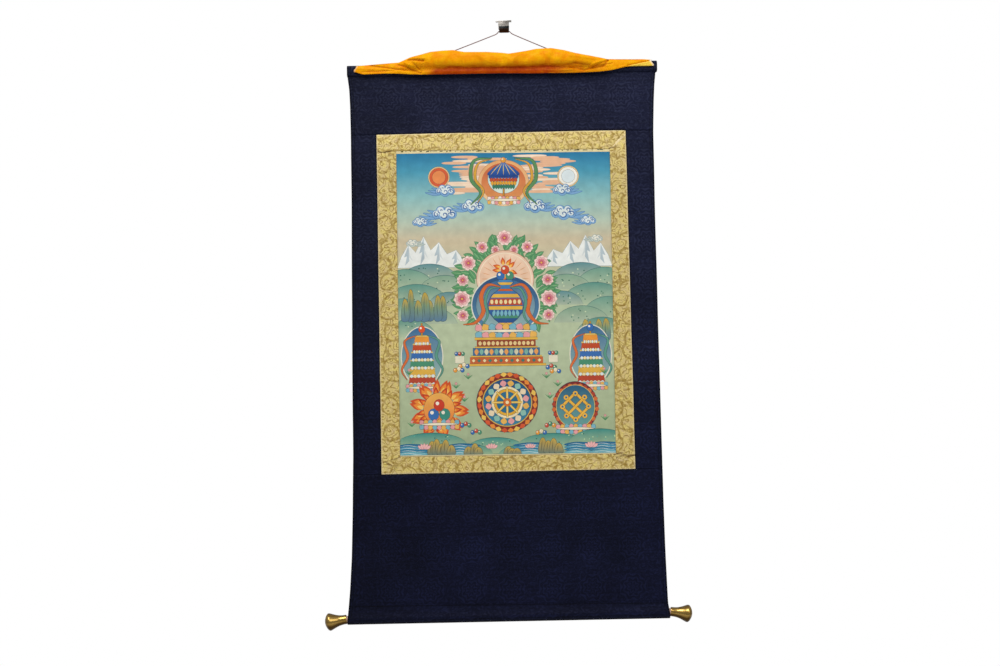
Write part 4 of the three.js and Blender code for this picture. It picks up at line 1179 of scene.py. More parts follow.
def sky_side(side):
    colour = "#d8603c" if side < 0 else "#f4efe2"
    x = MIDDLE + side * 128
    core = "#eb8f55" if side < 0 else "#dfe9ea"
    for radius, tone in ((21, "#e9c48a"), (18.5, colour), (13, core)):
        paint(oval(x, 552, radius, count=36), tone, INK, 0.4)
    cloud(x - 12 * side, 524, 11, BLUES, side)
    cloud(MIDDLE + side * 62, 492, 13, BLUES, side)
    cloud(MIDDLE + side * 118, 478, 14, BLUES, side)
    cloud(MIDDLE + side * 166, 462, 9, BLUES, -side)


def peaks(side):
    base = 372
    tops = [(8, 22), (22, 46), (36, 30), (52, 62), (66, 34), (82, 50), (98, 26), (116, 34),
            (132, 12)]
    outer = MIDDLE + side * 212
    outline = [(outer, base), *[(outer - side * dx, base + dy) for dx, dy in tops],
               (outer - side * 146, base)]
    paint(outline, "#eceee8", "#8fa3ab")
    for dx, dy in tops[1::2]:
        x = outer - side * dx
        paint([(x, base + dy - 2), (x + side * 9, base + dy * 0.45),
               (x + side * 3, base + dy * 0.5), (x + side * 7, base + 4),
               (x - side * 1.5, base + dy * 0.3)], "#b5c3c8")
        paint([(x, base + dy - 3), (x - side * 3, base + dy * 0.55),
               (x - side * 8, base + dy * 0.3), (x - side * 1.5, base + dy * 0.45)], "#d5dcda")


def hills(side):
    slopes = [(150, 366, 60, 26), (196, 352, 62, 34), (120, 344, 52, 24), (176, 322, 70, 34),
              (110, 312, 44, 22), (204, 292, 60, 38), (150, 280, 56, 26), (190, 256, 54, 28)]
    for index, (dx, cy, rx, ry) in enumerate(slopes):
        tone = ["#5f8f94", "#6f9f8d", "#86a98f", "#5d9588"][index % 4]
        fade = ["#b3bfa5", "#b9c7a5"][index % 2]
        ridge = oval(MIDDLE + side * dx, cy - ry, rx, ry * 1.5, count=40)[1:20]
        paint(ridge, [(cy + ry * 0.5, tone), (cy - ry * 0.9, fade)])
        ribbon(ridge[::3], 1.0, "#4a7472")
        for _ in range(9):
            angle = draw.uniform(0.5, 2.6)
            reach = draw.uniform(0.35, 0.85)
            x = MIDDLE + side * dx + rx * reach * math.cos(angle)
            y = cy - ry + 1.5 * ry * reach * math.sin(angle)
            paint(oval(x, y, 1.5, 1.2, count=7), draw.choice(("#2f6156", "#d8e2b8", "#3f7a64")))


def crags(side, offset, base, count, height):
    """Tall rocks with ochre tops and blue-grey feet."""
    for k in range(count):
        x = MIDDLE + side * (offset + 13 * k + draw.uniform(-2, 2))
        top = base + height * draw.uniform(0.6, 1.0)
        half = draw.uniform(6, 9)
        rock = soft([(x - half, base), (x - half * 0.9, base + 0.6 * (top - base)),
                     (x - half * 0.2, top), (x + half * 0.7, top - 5),
                     (x + half * 1.1, base + 0.5 * (top - base)), (x + half, base)])
        paint(rock, [(top, "#c8a544"), (lerp(top, base, 0.45), "#7f9a7a"), (base, "#5f7f96")],
              "#3f4f4a")
        ribbon([(x, top - 5), (x - 1.5, lerp(top, base, 0.5)), (x + 0.5, base + 3)], 1.2, "#4f6258")
        ribbon([(x + 3.5, top - 10), (x + 3, lerp(top, base, 0.6))], 0.9, "#8b8a4c")


mirrored(sky_side)
mirrored(peaks)
mirrored(hills)
crags(-1, 122, 268, 7, 62)
crags(1, 158, 226, 4, 44)
crags(-1, 168, 206, 3, 36)

# %% Paint the parasol
paint(oval(MIDDLE, 540, 50, 46, count=48), [(586, "#e7a76a"), (494, "#f0cfa0")], "#b5683c")
paint(oval(MIDDLE, 540, 44, 40, count=48), [(580, "#c96442"), (500, "#e39a5c")])
paint(oval(MIDDLE, 548, 31, 29, count=40), [(577, "#a9d3d6"), (519, "#d7e6d6")], INK, 0.5)


def scarf(side):
    ribbon(beside(side, [(22, 590), (58, 584), (64, 548), (46, 520), (66, 496)]), 7, "#5f8f5c", INK)
    ribbon(beside(side, [(24, 588), (50, 578), (56, 548), (40, 524), (52, 500)]), 5, "#d9a240", INK)


mirrored(scarf)
ribbon([(MIDDLE, 562), (MIDDLE, 512)], 3, "#c9902e", INK, taper=0.1)
VALANCES = [(29, "#2c4f96"), (27, "#c4502f"), (25, "#e4a53c"), (22, "#3d7f63")]
for index, (half, colour) in enumerate(VALANCES):
    top = 557 - 6.5 * index
    for k in range(-4, 5):
        paint(petal(MIDDLE + k * half / 4.5, top, -90, 10, half / 4.2, 0.9), colour, INK, 0.4)
dome = [(-31, 556), (-22, 568), (-8, 577), (0, 582), (8, 577), (22, 568), (31, 556), (0, 553)]
paint(soft(beside(1, dome)), [(582, "#3f74ba"), (553, "#24468c")], INK)
for k in (-2, -1, 0, 1, 2):
    ribbon(beside(k, [(2, 580), (7, 570), (13, 556)]), 1.4, "#e5c25a")
jewel(MIDDLE, 586, 5, "#e39a3c")
lotus_seat(MIDDLE, 505, 30, ("#f0e4d8", "#e8a0a0", "#e9b45a"))

# %% Paint the treasure vase among peonies


def foliage(side):
    for angle in range(-38, 92, 8):
        for reach, length in ((86, 26), (62, 28), (74, 30)):
            slant = angle + draw.uniform(-45, 45)
            place = around(MIDDLE, 322, angle + reach - 74, side * reach, reach * 1.12)
            leaf(*place, slant if side > 0 else 180 - slant, length * draw.uniform(0.75, 1.05))


mirrored(foliage)
PEONIES = [(90, 112, 16), (64, 104, 12), (116, 104, 12), (40, 96, 15), (140, 96, 15), (18, 90, 12),
           (162, 90, 12), (-6, 88, 17), (186, 88, 17), (-26, 96, 12), (206, 96, 12), (78, 90, 9),
           (102, 90, 9)]
for angle, reach, size in PEONIES:
    peony(*around(MIDDLE, 318, angle, reach * 0.98, reach), size, angle)
paint(oval(MIDDLE, 348, 56, count=60), [(404, "#e9c3a6"), (292, "#f2dcc4")], "#a8644c", 0.9)
paint(oval(MIDDLE, 348, 51, count=60), [(399, "#f0d0b4"), (297, "#e8b894")], "#f6ead0", 1.0)
for k in range(24):
    ribbon([around(MIDDLE, 348, 15 * k, reach) for reach in (30, 48)], 1.1, "#d9925f", step=6)
paint(oval(MIDDLE, 296, 66, 58, count=60), [(350, "#2f5480"), (238, "#5f8fae")], "#e8e4d0", 2.2)
paint(oval(MIDDLE, 296, 58, 51, count=60), [(345, "#3f6c96"), (245, "#9bb9b4")], INK, 0.5)
flames(MIDDLE, 366, 9, 9, 17)
for dx, dy, colour in ((-9, 354, "#3b6fae"), (9, 354, "#4f9070"), (0, 366, "#d0502f")):
    jewel(MIDDLE + dx, dy, 8, colour)
VASE = [(12, 346), (16, 341), (11, 336), (10, 330), (15, 325), (27, 316), (35, 300), (33, 282),
        (22, 268), (14, 262), (14, 257), (20, 252), (21, 248)]
paint(beside(1, VASE) + beside(-1, VASE[::-1]),
      [(346, "#4c88b8"), (300, "#3a6ba6"), (248, "#2c4c80")], INK, 0.9)
BANDS = [(341, 336, "#e8b74c"), (328, 324, "#d0612f"), (318, 311, "#e8b74c"), (309, 296, "#c14f34"),
         (294, 287, "#e8b74c"), (276, 270, "#4f9070"), (261, 257, "#e8b74c")]
for high, low, colour in BANDS:
    wide = np.interp([high, low], [y for _, y in VASE[::-1]],
                     [half for half, _ in VASE[::-1]]) - 0.8
    paint(beside(1, [(-wide[0], high), (wide[0], high), (wide[1], low), (-wide[1], low)]), colour,
          INK, 0.3)
for k in range(-3, 4):
    paint(oval(MIDDLE + 9 * k, 302.5, 3.2, 4.6, count=10), "#f1d9a0", "#7c3a24", 0.4)
    paint(petal(MIDDLE + 7.4 * k, 287, -90 + 3 * k, 14, 6.5, 1.0), "#7db6c4", INK, 0.4)


def vase_scarf(side):
    ribbon(beside(side, [(9, 332), (34, 336), (48, 314), (44, 284), (60, 262), (84, 258)]), 8,
           "#d8703c", "#7c3a24")
    ribbon(beside(side, [(10, 331), (30, 328), (40, 304), (36, 276), (50, 252)]), 5, "#5f9a86", INK)


mirrored(vase_scarf)
lotus_seat(MIDDLE, 244, 56)

# %% Paint the table and its hangings
TABLE = [(232, 227, 62, "#e2b24a"), (227, 214, 58, "#9c4a30"), (214, 211, 62, "#e2b24a"),
         (211, 196, 66, "#3f6f94"), (196, 193, 70, "#e2b24a"), (193, 180, 72, "#c8663a"),
         (180, 176, 78, "#e2b24a")]
for high, low, half, colour in TABLE:
    paint(box(MIDDLE - half, low, MIDDLE + half, high), colour, INK, 0.5)
for k in range(-6, 7):
    paint(oval(MIDDLE + k * 8.6, 220.5, 3.4, 4.2, count=10), "#e9c98c", "#5c2a1c", 0.4)
    paint(petal(MIDDLE + k * 9.8, 210, -90, 13, 8.4, 0.9),
          ["#e9a15a", "#7fb0a2", "#d8d2b0"][k % 3], INK, 0.3)
    paint(oval(MIDDLE + k * 10.8, 186.5, 3.6, 3.6, count=4), ["#f0dca6", "#3f7f72"][k % 2],
          "#5c2a1c", 0.4)
for side in (-1, 1):
    paint(box(MIDDLE + side * 92 - 9, 182, MIDDLE + side * 92 + 9, 196), "#e7e0c4", INK, 0.5)
    for k, tone in enumerate(JEWELS[:3]):
        jewel(MIDDLE + side * 92 + (k - 1) * 6.5, 200.5, 3.4, tone)


def banner(side):
    """A victory banner: stacked, valanced tiers on a pole."""
    x = MIDDLE + side * 166
    paint(oval(x, 196, 40, 58, count=48), [(254, "#3a6a96"), (138, "#9dbcae")], "#e8e2cc", 1.8)
    ribbon([(x, 262), (x, 128)], 3, "#c9902e", INK, taper=0.1)
    tiers = [(236, 13, "#e9973c"), (220, 17, "#c4502f"), (204, 20, "#3f6fae"), (188, 22, "#4f9070"),
             (172, 24, "#e0b04a"), (156, 25, "#b84a34")]
    for top, half, colour in tiers[::-1]:
        paint([(x - half, top), (x + half, top), (x + half + 2, top - 14),
               (x - half - 2, top - 14)], colour, INK, 0.5)
        for k in range(-3, 4):
            tone = ["#f2dba0", "#dfe8e4"][k % 2]
            paint(petal(x + k * half / 3.4, top - 11, -90, 7, half / 3.2, 0.9), tone, INK, 0.3)
        paint(box(x - half - 1, top - 1, x + half + 1, top + 1.6), "#e8c463", INK, 0.3)
    jewel(x, 250, 6.5, "#e0572f" if side < 0 else "#3b6fae")
    for reach, colour in ((1, "#5f9a86"), (-1, "#d8703c")):
        streamer = [(10, 238), (34, 226), (28, 196), (40, 170), (30, 150)]
        ribbon([(x + reach * away, y) for away, y in streamer], 5, colour, INK)
    lotus_seat(x, 134, 30)


mirrored(banner)

# %% Paint the wheel, the knot and the jewels
paint(oval(MIDDLE, 104, 60, 58, count=64), "#8a3527", INK, 0.9)
ring_of_petals(MIDDLE, 104, 50, 28, 9.5, ("#e98c3c", "#f0c25c", "#d65a34"))
paint(oval(MIDDLE, 104, 49, 47.5, count=60), "#e8b74c", INK, 0.5)
paint(oval(MIDDLE, 104, 47, 45.5, count=60), [(150, "#24507e"), (58, "#3f86a0")], INK, 0.4)
ring_of_petals(MIDDLE, 104, 30, 16, 14, ("#e8a0a0", "#efd9b4", "#8fbfae", "#e9b45a"))
paint(oval(MIDDLE, 104, 31, count=48), "#f0dfb4", INK, 0.5)
wheel(MIDDLE, 104, 26)


def endless_knot(cx, cy, size):
    """Woven lines that never end, as two sets of slanted runs joined in loops."""
    paint(oval(cx, cy, size * 1.75, size * 1.95, count=56), "#7c2f2a", INK, 0.9)
    ring_of_petals(cx, cy, size * 1.5, 26, size * 0.36, ("#b24634", "#d8703c"))
    paint(oval(cx, cy, size * 1.5, size * 1.68, count=56),
          [(cy + size * 1.6, "#2f5f7e"), (cy - size * 1.6, "#6fa39a")], "#e8c463", 1.0)
    for sign in (-1, 1):
        for step in (-0.6, 0.0, 0.6):
            start, end = np.array([-1.0, -1.0 * sign]), np.array([1.0, 1.0 * sign])
            shift = np.array([step, -step * sign]) * 0.9
            a, b = (start * 0.62 + shift) * size, (end * 0.62 + shift) * size
            ribbon([(cx + a[0], cy + a[1]), (cx + b[0], cy + b[1])], size * 0.19, "#efb84a",
                   "#6b3418", taper=0.0, step=6)
    for k in range(8):
        x, y = around(cx, cy, 45 * k, size * 1.02)
        paint(oval(x, y, size * 0.2, count=14), "#efb84a", "#6b3418", 0.5)
        paint(oval(x, y, size * 0.09, count=8), "#3f6c86")


flames(78, 92, 30, 19, 30)
flames(78, 92, 24, 13, 22, ("#c23f2a", "#e9762f", "#f4b04e"))
paint(oval(78, 92, 30, 32, count=44), [(124, "#f2b45a"), (60, "#e57a3a")], "#8f3220", 0.8)
for dx, dy, colour in ((-11, 82, "#3b6fae"), (11, 82, "#3f8f7c"), (0, 100, "#c9402c")):
    jewel(78 + dx, dy, 10.5, colour)
lotus_seat(78, 62, 36)
endless_knot(346, 94, 25)
lotus_seat(346, 50, 36)

# %% Paint the shore, the water and the offerings
for cx, cy, rx, ry in ((60, 30, 74, 20), (188, 22, 58, 17), (300, 28, 70, 18), (392, 34, 60, 20),
                       (132, 12, 50, 14), (238, 8, 46, 15)):
    mound = oval(cx, cy - ry * 0.6, rx, ry * 1.4, count=44)
    paint(mound[mound[:, 1] > cy - ry], [(cy + ry * 0.8, "#3f8f86"), (cy - ry, "#a8bd94")])
    ribbon(mound[1:22:3], 1.0, "#2c5f58")
    for _ in range(14):
        x, y = cx + draw.uniform(-0.6, 0.6) * rx, cy + draw.uniform(-0.5, 0.55) * ry
        paint(oval(x, y, 1.4, 1.1, count=7), draw.choice(("#bcd9a6", "#246055", "#5fae9a")))
for cx, wide in ((24, 36), (124, 34), (262, 40), (352, 30), (404, 34)):
    for k in range(4):
        y = 20 - 5 * k
        paint(soft([(cx - wide, y), (cx - wide * 0.3, y + 4.5), (cx + wide * 0.5, y + 3.5),
                    (cx + wide, y), (cx + wide * 0.3, y - 4), (cx - wide * 0.4, y - 3.5)], 4),
              ["#2f6f94", "#4f93ac", "#3a7f9e", "#6fadb8"][k], "#1f4a66", 0.4)
        ribbon([(cx - wide * 0.7, y), (cx - wide * 0.2, y + 1.8), (cx + wide * 0.3, y - 0.6),
                (cx + wide * 0.7, y + 0.8)], 0.9, "#dbe8e0", step=5)


def rocks(cx, base, count, height):
    for k in range(count):
        x = cx + (k - count / 2) * 10 + draw.uniform(-2, 2)
        top = base + height * draw.uniform(0.55, 1.0)
        paint(soft([(x - 8, base), (x - 6, lerp(base, top, 0.7)), (x, top),
                    (x + 6, lerp(base, top, 0.75)), (x + 8, base)]),
              [(top, "#c9a64a"), (base, "#6f7f70")], "#4a4434")
        ribbon([(x - 1, top - 3), (x - 3, base + 3)], 1.2, "#5f5a3c")


rocks(86, 4, 5, 30)
rocks(150, 3, 3, 22)
rocks(300, 4, 4, 30)
rocks(226, 2, 3, 16)
for x, y in ((128, 176), (118, 168), (300, 172), (308, 164), (130, 60), (296, 58), (150, 46),
             (278, 44)):
    for k in range(3):
        jewel(x + (k - 1) * 7, y + 3 * (k % 2), 3.8, JEWELS[(k + int(x)) % 5])
for x, y in ((20, 160), (404, 158), (136, 150), (290, 150), (24, 58), (404, 66), (128, 106),
             (296, 110), (112, 132), (312, 134)):
    for k in range(5):
        ribbon([(x, y), (x + (k - 2) * 2.2, y + 5), (x + (k - 2) * 4.5, y + 9)], 1.5, "#4f8a5c",
               step=3)
    paint(oval(x, y + 10, 2.2, count=8), "#e2a0a0", "#a8505c", 0.4)
for x, y, side in ((30, 420, 1), (394, 426, -1)):
    cloud(x, y, 7, ("#7f97a0", "#c9d0c0", "#e9e6d6"), side)
for x, size in ((48, 8), (376, 8), (180, 7), (256, 6)):
    for k in range(-2, 3):
        paint(petal(x + k * 1.5, 14, 90 - k * 26, size * 1.5, size * 0.7, 1.1), "#f0b8b4",
              "#a8505c", 0.4)
print("the picture has", len(shapes), "painted shapes")

# %% [markdown]
# A print is one flat layer of ink, so the heap of shapes is cut into one flat map, in which every
# patch has the colour of the topmost shape over it. A first triangulation of all the outlines
# shows which of their parts can be seen. A second one takes only those, and a grid of points that
# lets the map follow the waves of the cloth. Then it is laid on the hung sheet like the other
# pieces, with its edges stepping back behind the gold frame. The cotton canvas that carries it is
# a sheet of its own.

# %% Flatten the picture into one canvas
GRID = 9.0
PRINT_FACE, BACKING_FACE = -0.42, 0.4
BACKING_SPACING = 8
# How far the print steps back, at some distances in from the edge of the gold frame's opening.
UNDER_FRAME = ([-8, -1, 0.0, 0.2, 0.4], [2.2, 2.2, 1.4, 0.6, 0.0])
picture_place = four_cornered(PIC_TL, PIC_TR, PIC_BR, PIC_BL)


def shade(colour, height):
    """A shape's linear colour at some heights. A list of heights and colours is a gradient."""
    if isinstance(colour, str):
        return np.tile(linear(colour), (len(height), 1))
    stops = sorted(colour)
    values = np.array([linear(code) for _, code in stops])
    levels = [level for level, _ in stops]
    return np.column_stack([np.interp(height, levels, channel) for channel in values.T])


def topmost(places, outlines):
    """The last shape round each place, by how often its outline winds round the place."""
    found = np.zeros(len(places), dtype=int)
    by_height = np.argsort(places[:, 1])
    places = places[by_height]
    for index, outline in enumerate(outlines):
        low, high = np.searchsorted(places[:, 1], (outline[:, 1].min(), outline[:, 1].max()))
        x, y = places[low:high].T
        winds = np.zeros(high - low, dtype=int)
        for (ax, ay), (bx, by) in zip(outline, np.roll(outline, -1, axis=0)):
            first, last = np.searchsorted(y, (min(ay, by), max(ay, by)))
            left_of = (bx - ax) * (y[first:last] - ay) > (by - ay) * (x[first:last] - ax)
            winds[first:last] += left_of if by > ay else left_of - 1
        found[by_height[low:high][winds != 0]] = index
    return found


def triangulate(points, edges):
    flat, _, patches, _, _, _ = delaunay_2d_cdt([Vector(p) for p in points], edges, [], 0, 0.001)
    return np.array([tuple(p) for p in flat]), np.array(patches)


def finer(outline):
    """Puts points along an outline's long sides, so that they follow the hanging cloth."""
    following = np.roll(outline, -1, axis=0)
    counts = np.ceil(np.hypot(*(following - outline).T) / GRID).astype(int)
    return np.vstack([lerp(start, end, np.arange(max(count, 1))[:, None] / max(count, 1))
                      for start, end, count in zip(outline, following, counts)])


def flat_map(shapes, grid):
    """Cuts a heap of shapes into triangles that show no hidden outline, with each one's shape."""
    outlines = [np.clip(outline, (art_left, art_bottom), (art_right, art_top))
                if index >= art_starts else outline for index, (outline, _) in enumerate(shapes)]
    outlines = [finer(np.asarray(outline, dtype=float)) for outline in outlines]
    starts = np.cumsum([0] + [len(outline) for outline in outlines])
    edges = [(start + k, start + (k + 1) % len(outline))
             for start, outline in zip(starts, outlines) for k in range(len(outline))]
    flat, patches = triangulate(np.vstack(outlines), edges)
    owners = topmost(flat[patches].mean(axis=1), outlines)
    sides = np.sort(np.vstack([patches[:, (0, 1)], patches[:, (1, 2)], patches[:, (2, 0)]]), axis=1)
    sides, which, count = np.unique(sides, axis=0, return_inverse=True, return_counts=True)
    spread = np.bincount(which, np.tile(owners, 3)) / count - np.tile(owners, 3)[
        np.unique(which, return_index=True)[1]]
    seen = sides[(count == 1) | (np.abs(spread) > 1e-6)]
    used, seen = np.unique(seen, return_inverse=True)
    points = np.vstack([flat[used], grid])
    flat, patches = triangulate(points, [tuple(pair) for pair in seen.reshape(-1, 2)])
    return flat, patches, topmost(flat[patches].mean(axis=1), outlines)


FIRST = 5
grid = [(x, y) for x in np.arange(FIRST, PIC_WIDTH, GRID)
        for y in np.arange(FIRST, PIC_HEIGHT, GRID)]
flat, patches, owners = flat_map(shapes, grid)
inset = np.minimum(np.minimum(flat[:, 0], PIC_WIDTH - flat[:, 0]),
                   np.minimum(flat[:, 1], PIC_HEIGHT - flat[:, 1]))
x, z = picture_place(flat[:, 0] / PIC_WIDTH, 1 - flat[:, 1] / PIC_HEIGHT)
y = hung_depth(x, z) + PRINT_FACE + np.interp(inset, *UNDER_FRAME)
picture = new_piece("printed_picture", np.column_stack([x, y, z]), patches.tolist())
mesh = picture.data
corner = np.empty(len(mesh.loops), dtype=np.int32)
mesh.loops.foreach_get("vertex_index", corner)
owner = np.repeat(owners, 3)
colours = np.empty((len(corner), 4))
for index in np.unique(owner):
    chosen = owner == index
    colours[chosen] = shade(shapes[index][1], flat[corner[chosen], 1])
paint_layer = mesh.color_attributes.new("paint", "FLOAT_COLOR", "CORNER")
paint_layer.data.foreach_set("color", colours.astype(np.float32).ravel())
uv_map = mesh.uv_layers.new(name="UVMap")
uv_map.data.foreach_set("uv", (flat[corner] * MM).astype(np.float32).ravel())
print("the flat map has", len(patches), "patches of", len(shapes), "shapes")

# %% [markdown]
# The canvas is fine plain-woven cotton. The ink sinks into it, so the print is matt, a little
# mottled, and shows the weave as a slight relief. The back is bare cotton.

# %% Finish the picture
canvas, node = new_material("printed_cotton_canvas")
thread = node("TexCoord", output="UV")
ink = node("VertexColor", layer_name="paint")
mottle = node("TexNoise", {"Vector": thread, "Scale": 55.0, "Detail": 5.0})
strength = node("MapRange", {"Value": mottle, "From Min": 0.3, "From Max": 0.7, "To Min": 0.9,
                             "To Max": 1.06})
inked = node("VectorMath", {0: ink, 3: strength}, operation="SCALE")
# The weave is drawn coarser than it is, a thread every 1.3 mm.
warp = node("TexWave", {"Vector": thread, "Scale": 240.0}, bands_direction="X")
weft = node("TexWave", {"Vector": thread, "Scale": 240.0}, bands_direction="Y")
cotton_weave = node("Math", {0: warp, 1: weft}, operation="MULTIPLY")
canvas_bump = node("Bump", {"Height": cotton_weave, "Strength": 0.2, "Distance": 0.15 * MM})
surface(canvas, {"Base Color": inked, "Normal": canvas_bump, "Roughness": 0.82,
                 "Specular IOR Level": 0.2})
cotton, node = new_material("bare_cotton_back")
thread = node("TexCoord", output="UV")
nap = node("TexNoise", {"Vector": thread, "Scale": 600.0, "Detail": 4.0})
cotton_colour = node("MixRGB", {"Fac": nap, "Color1": "#b9ab8b", "Color2": "#e0d5ba"})
nap_bump = node("Bump", {"Height": nap, "Strength": 0.3, "Distance": 0.2 * MM})
surface(cotton, {"Base Color": cotton_colour, "Normal": nap_bump, "Roughness": 0.9})
only(picture)
bpy.ops.object.shade_smooth()
finish_piece(picture, "printed_picture", canvas, "picture")
backing = hung_piece(picture_place, PIC_WIDTH, PIC_HEIGHT, BACKING_SPACING, (UNDER,) * 4,
                     BACKING_FACE)
finish_piece(backing, "canvas_back", cotton, "picture")

# %% [markdown]
# The cover is a long piece of thin saffron silk, sewn along the front of the top sleeve. It hangs
# down over the picture when the scroll is put away. Here it is lifted up in front, gathered under
# the cord in the middle, and hangs down behind.

# %% Lift and drape the cover
SEWN_LEFT, SEWN_RIGHT, SEWN_Y, SEWN_Z = -301.0, 297.5, -33.1, -95.0
GATE_LEFT, GATE_RIGHT = -138.0, 120.0
TAIL_LEFT, TAIL_RIGHT, TAIL_Y = -215.0, 210.0, -9.9
COVER_LENGTH, FRONT_MIDDLE, FRONT_SIDES = 830.0, 105.0, 165.0
FOLDS, FOLD = 8, 6.3
FINE_FOLDS, FINE_FOLD = 22, 2.9
TAIL_ROWS = 5
COVER_EDGES = [
    # x, with the heights of the lower lip and of the crest there
    (-301, -99.5, -88.8), (-283, -105, -88), (-240, -104, -86), (-212, -104.6, -84),
    (-197, -106, -78.4), (-185, -107, -73.6), (-161, -107.8, -67.6), (-145, -108, -63.4),
    (-125, -108, -61.7), (-101, -108, -61), (-80, -108, -65), (-35, -108, -65.7), (-5, -108, -68),
    (7, -108.2, -69.8), (19, -108.5, -68.4), (43, -109, -64.8), (61, -109.2, -61.4),
    (91, -109.3, -60), (115, -109.4, -64.2), (139, -109.4, -70.5), (163, -108.8, -75),
    (187, -107.8, -79.8), (211, -105, -84.8), (247, -98, -86), (271, -97.8, -84.6),
    (297.5, -97.8, -86.6),
]
FRONT_PATH = [
    # share of the way from lip to crest, share of the drawing in, y in the middle and at the ends
    (0, 0, -37.2, -35.6), (0.1, 0, -39.4, -36.8), (0.2, 0, -38.4, -37.2),
    (0.28, 0.01, -39.2, -37.4), (0.38, 0.01, -45.4, -37.5), (0.54, 0.02, -50.0, -37.6),
    (0.78, 0.03, -50.8, -37.4), (0.93, 0.04, -46.5, -37), (1, 0.06, -40, -36),
]
GATE_PATH = [
    # share of the drawing in, y, drop below the crest, height at the ends, size of the folds
    (0.55, -35.2, 3, -82.8, 0.15), (1, -31.8, 8, -79.6, 0.5), (1, -22, 11, -79.6, 0.7),
    (1, -14.3, 15, -82, 0.8), (1, -9.9, 22, -88, 0.95),
]


def cover_rows(u):
    """The cover's middle surface at shares across, row by row down its length, and its folds."""
    sewn, gate = lerp(SEWN_LEFT, SEWN_RIGHT, u), lerp(GATE_LEFT, GATE_RIGHT, u)
    rows = [(sewn, np.full_like(u, SEWN_Y), np.full_like(u, SEWN_Z), np.zeros_like(u))]
    for share, draw, middle_y, end_y in FRONT_PATH:
        x = lerp(sewn, gate, draw)
        lip, crest = table(COVER_EDGES, x, 1, 5), table(COVER_EDGES, x, 2, 2.5)
        y = lerp(end_y, middle_y, smooth(-87, -71, crest))
        rows.append((x, y, lerp(lip, crest, share), np.zeros_like(u)))
    for draw, depth, drop, end_z, fold in GATE_PATH:
        x = lerp(sewn, gate, draw)
        middle = smooth(0, 0.22, u) * smooth(1, 0.78, u)
        z = np.maximum(lerp(end_z, table(COVER_EDGES, x, 2) - drop, middle), end_z)
        ends = smooth(0, 0.1, u) * smooth(1, 0.9, u)
        rows.append((x, np.full_like(u, depth), z, fold * (0.25 + 0.75 * ends)))
    start_x, _, start_z, _ = rows[-1]
    middle = smooth(0, 0.25, u) * smooth(1, 0.75, u)
    reach = COVER_LENGTH - lerp(FRONT_SIDES, FRONT_MIDDLE, middle)
    for fall in np.linspace(0, 1, TAIL_ROWS + 1)[1:]:
        x = lerp(start_x, lerp(TAIL_LEFT, TAIL_RIGHT, u), fall ** 0.8)
        rows.append((x, np.full_like(u, TAIL_Y), start_z - reach * fall,
                     np.full_like(u, lerp(1, 0.8, fall))))
    surface = np.array([np.column_stack(row[:3]) for row in rows])
    along = np.gradient(surface, axis=0)[:, :, 1:]
    along[0] = surface[1, :, 1:] - surface[0, :, 1:]
    along[-1] = surface[-1, :, 1:] - surface[-2, :, 1:]
    along /= np.linalg.norm(along, axis=2)[:, :, None]
    folded = np.array([row[3] for row in rows])
    wave = FOLD * folded * np.sin(2 * math.pi * FOLDS * u + 0.6)
    gather = 2 * math.pi * (FINE_FOLDS * u + 0.5 * np.sin(2 * math.pi * 3 * u))
    wave = wave + FINE_FOLD * folded * np.sin(gather + 0.5 * np.arange(len(rows))[:, None])
    surface[:, :, 1] -= along[:, :, 1] * wave
    surface[:, :, 2] += along[:, :, 0] * wave
    return surface


COVER_FOLDS = [
    # x and z of both ends, width and depth, as for the hung sheet's creases
    (-168, -105, -268, -88, 3.6, 1.7), (-170, -104, -245, -96, 3.0, -1.2),
    (-168, -104, -212, -88, 3.4, 1.8), (-168, -103, -198, -87, 3.0, -1.8),
    (-166, -102, -184, -86, 2.8, 1.5), (-192, -80.5, -162, -83.5, 3.2, 3.0),
    (-188, -76, -158, -79, 4.5, -2.0), (-154, -66, -147, -84, 5.0, 1.6),
    (-300, -93, -262, -96, 4.0, -1.0), (-285, -101, -215, -99, 3.0, 1.2),
    (-110, -64, -88, -86, 9.0, 1.6), (-60, -68, -40, -84, 8.0, -1.8), (-12, -69, -2, -86, 9.0, 2.2),
    (30, -70, 14, -88, 7.0, -1.6), (60, -66, 40, -84, 8.0, 1.4), (104, -64, 88, -88, 9.0, 1.6),
    (158, -105, 206, -86, 3.4, 1.8), (158, -104, 190, -88, 3.0, -1.6),
    (150, -103, 214, -92, 3.0, 1.4), (206, -86, 196, -98, 2.6, 1.9),
    (110, -105, 172, -100, 3.0, -1.6), (130, -78, 178, -84, 5.0, -1.8),
    (136, -92, 168, -96, 3.6, 1.6), (244, -97, 296, -87, 2.4, 2.0),
    (230, -100, 288, -90, 3.0, -1.0), (92, -96, 140, -93, 4.0, 1.6),
    (128, -99, 158, -105, 2.6, 1.5), (160, -104.5, 200, -97, 2.6, 1.3),
]


def finer_rows(surface, counts):
    """Puts more rows between the rows, on smooth lines through them."""
    padded = np.concatenate([2 * surface[:1] - surface[1:2], surface,
                             2 * surface[-1:] - surface[-2:-1]])
    rows = []
    for index, count in enumerate(counts):
        a, b, c, d = padded[index:index + 4]
        rows += [curve_through(a, b, c, d, t) for t in np.linspace(0, 1, count, endpoint=False)]
    return np.array(rows + [surface[-1]])


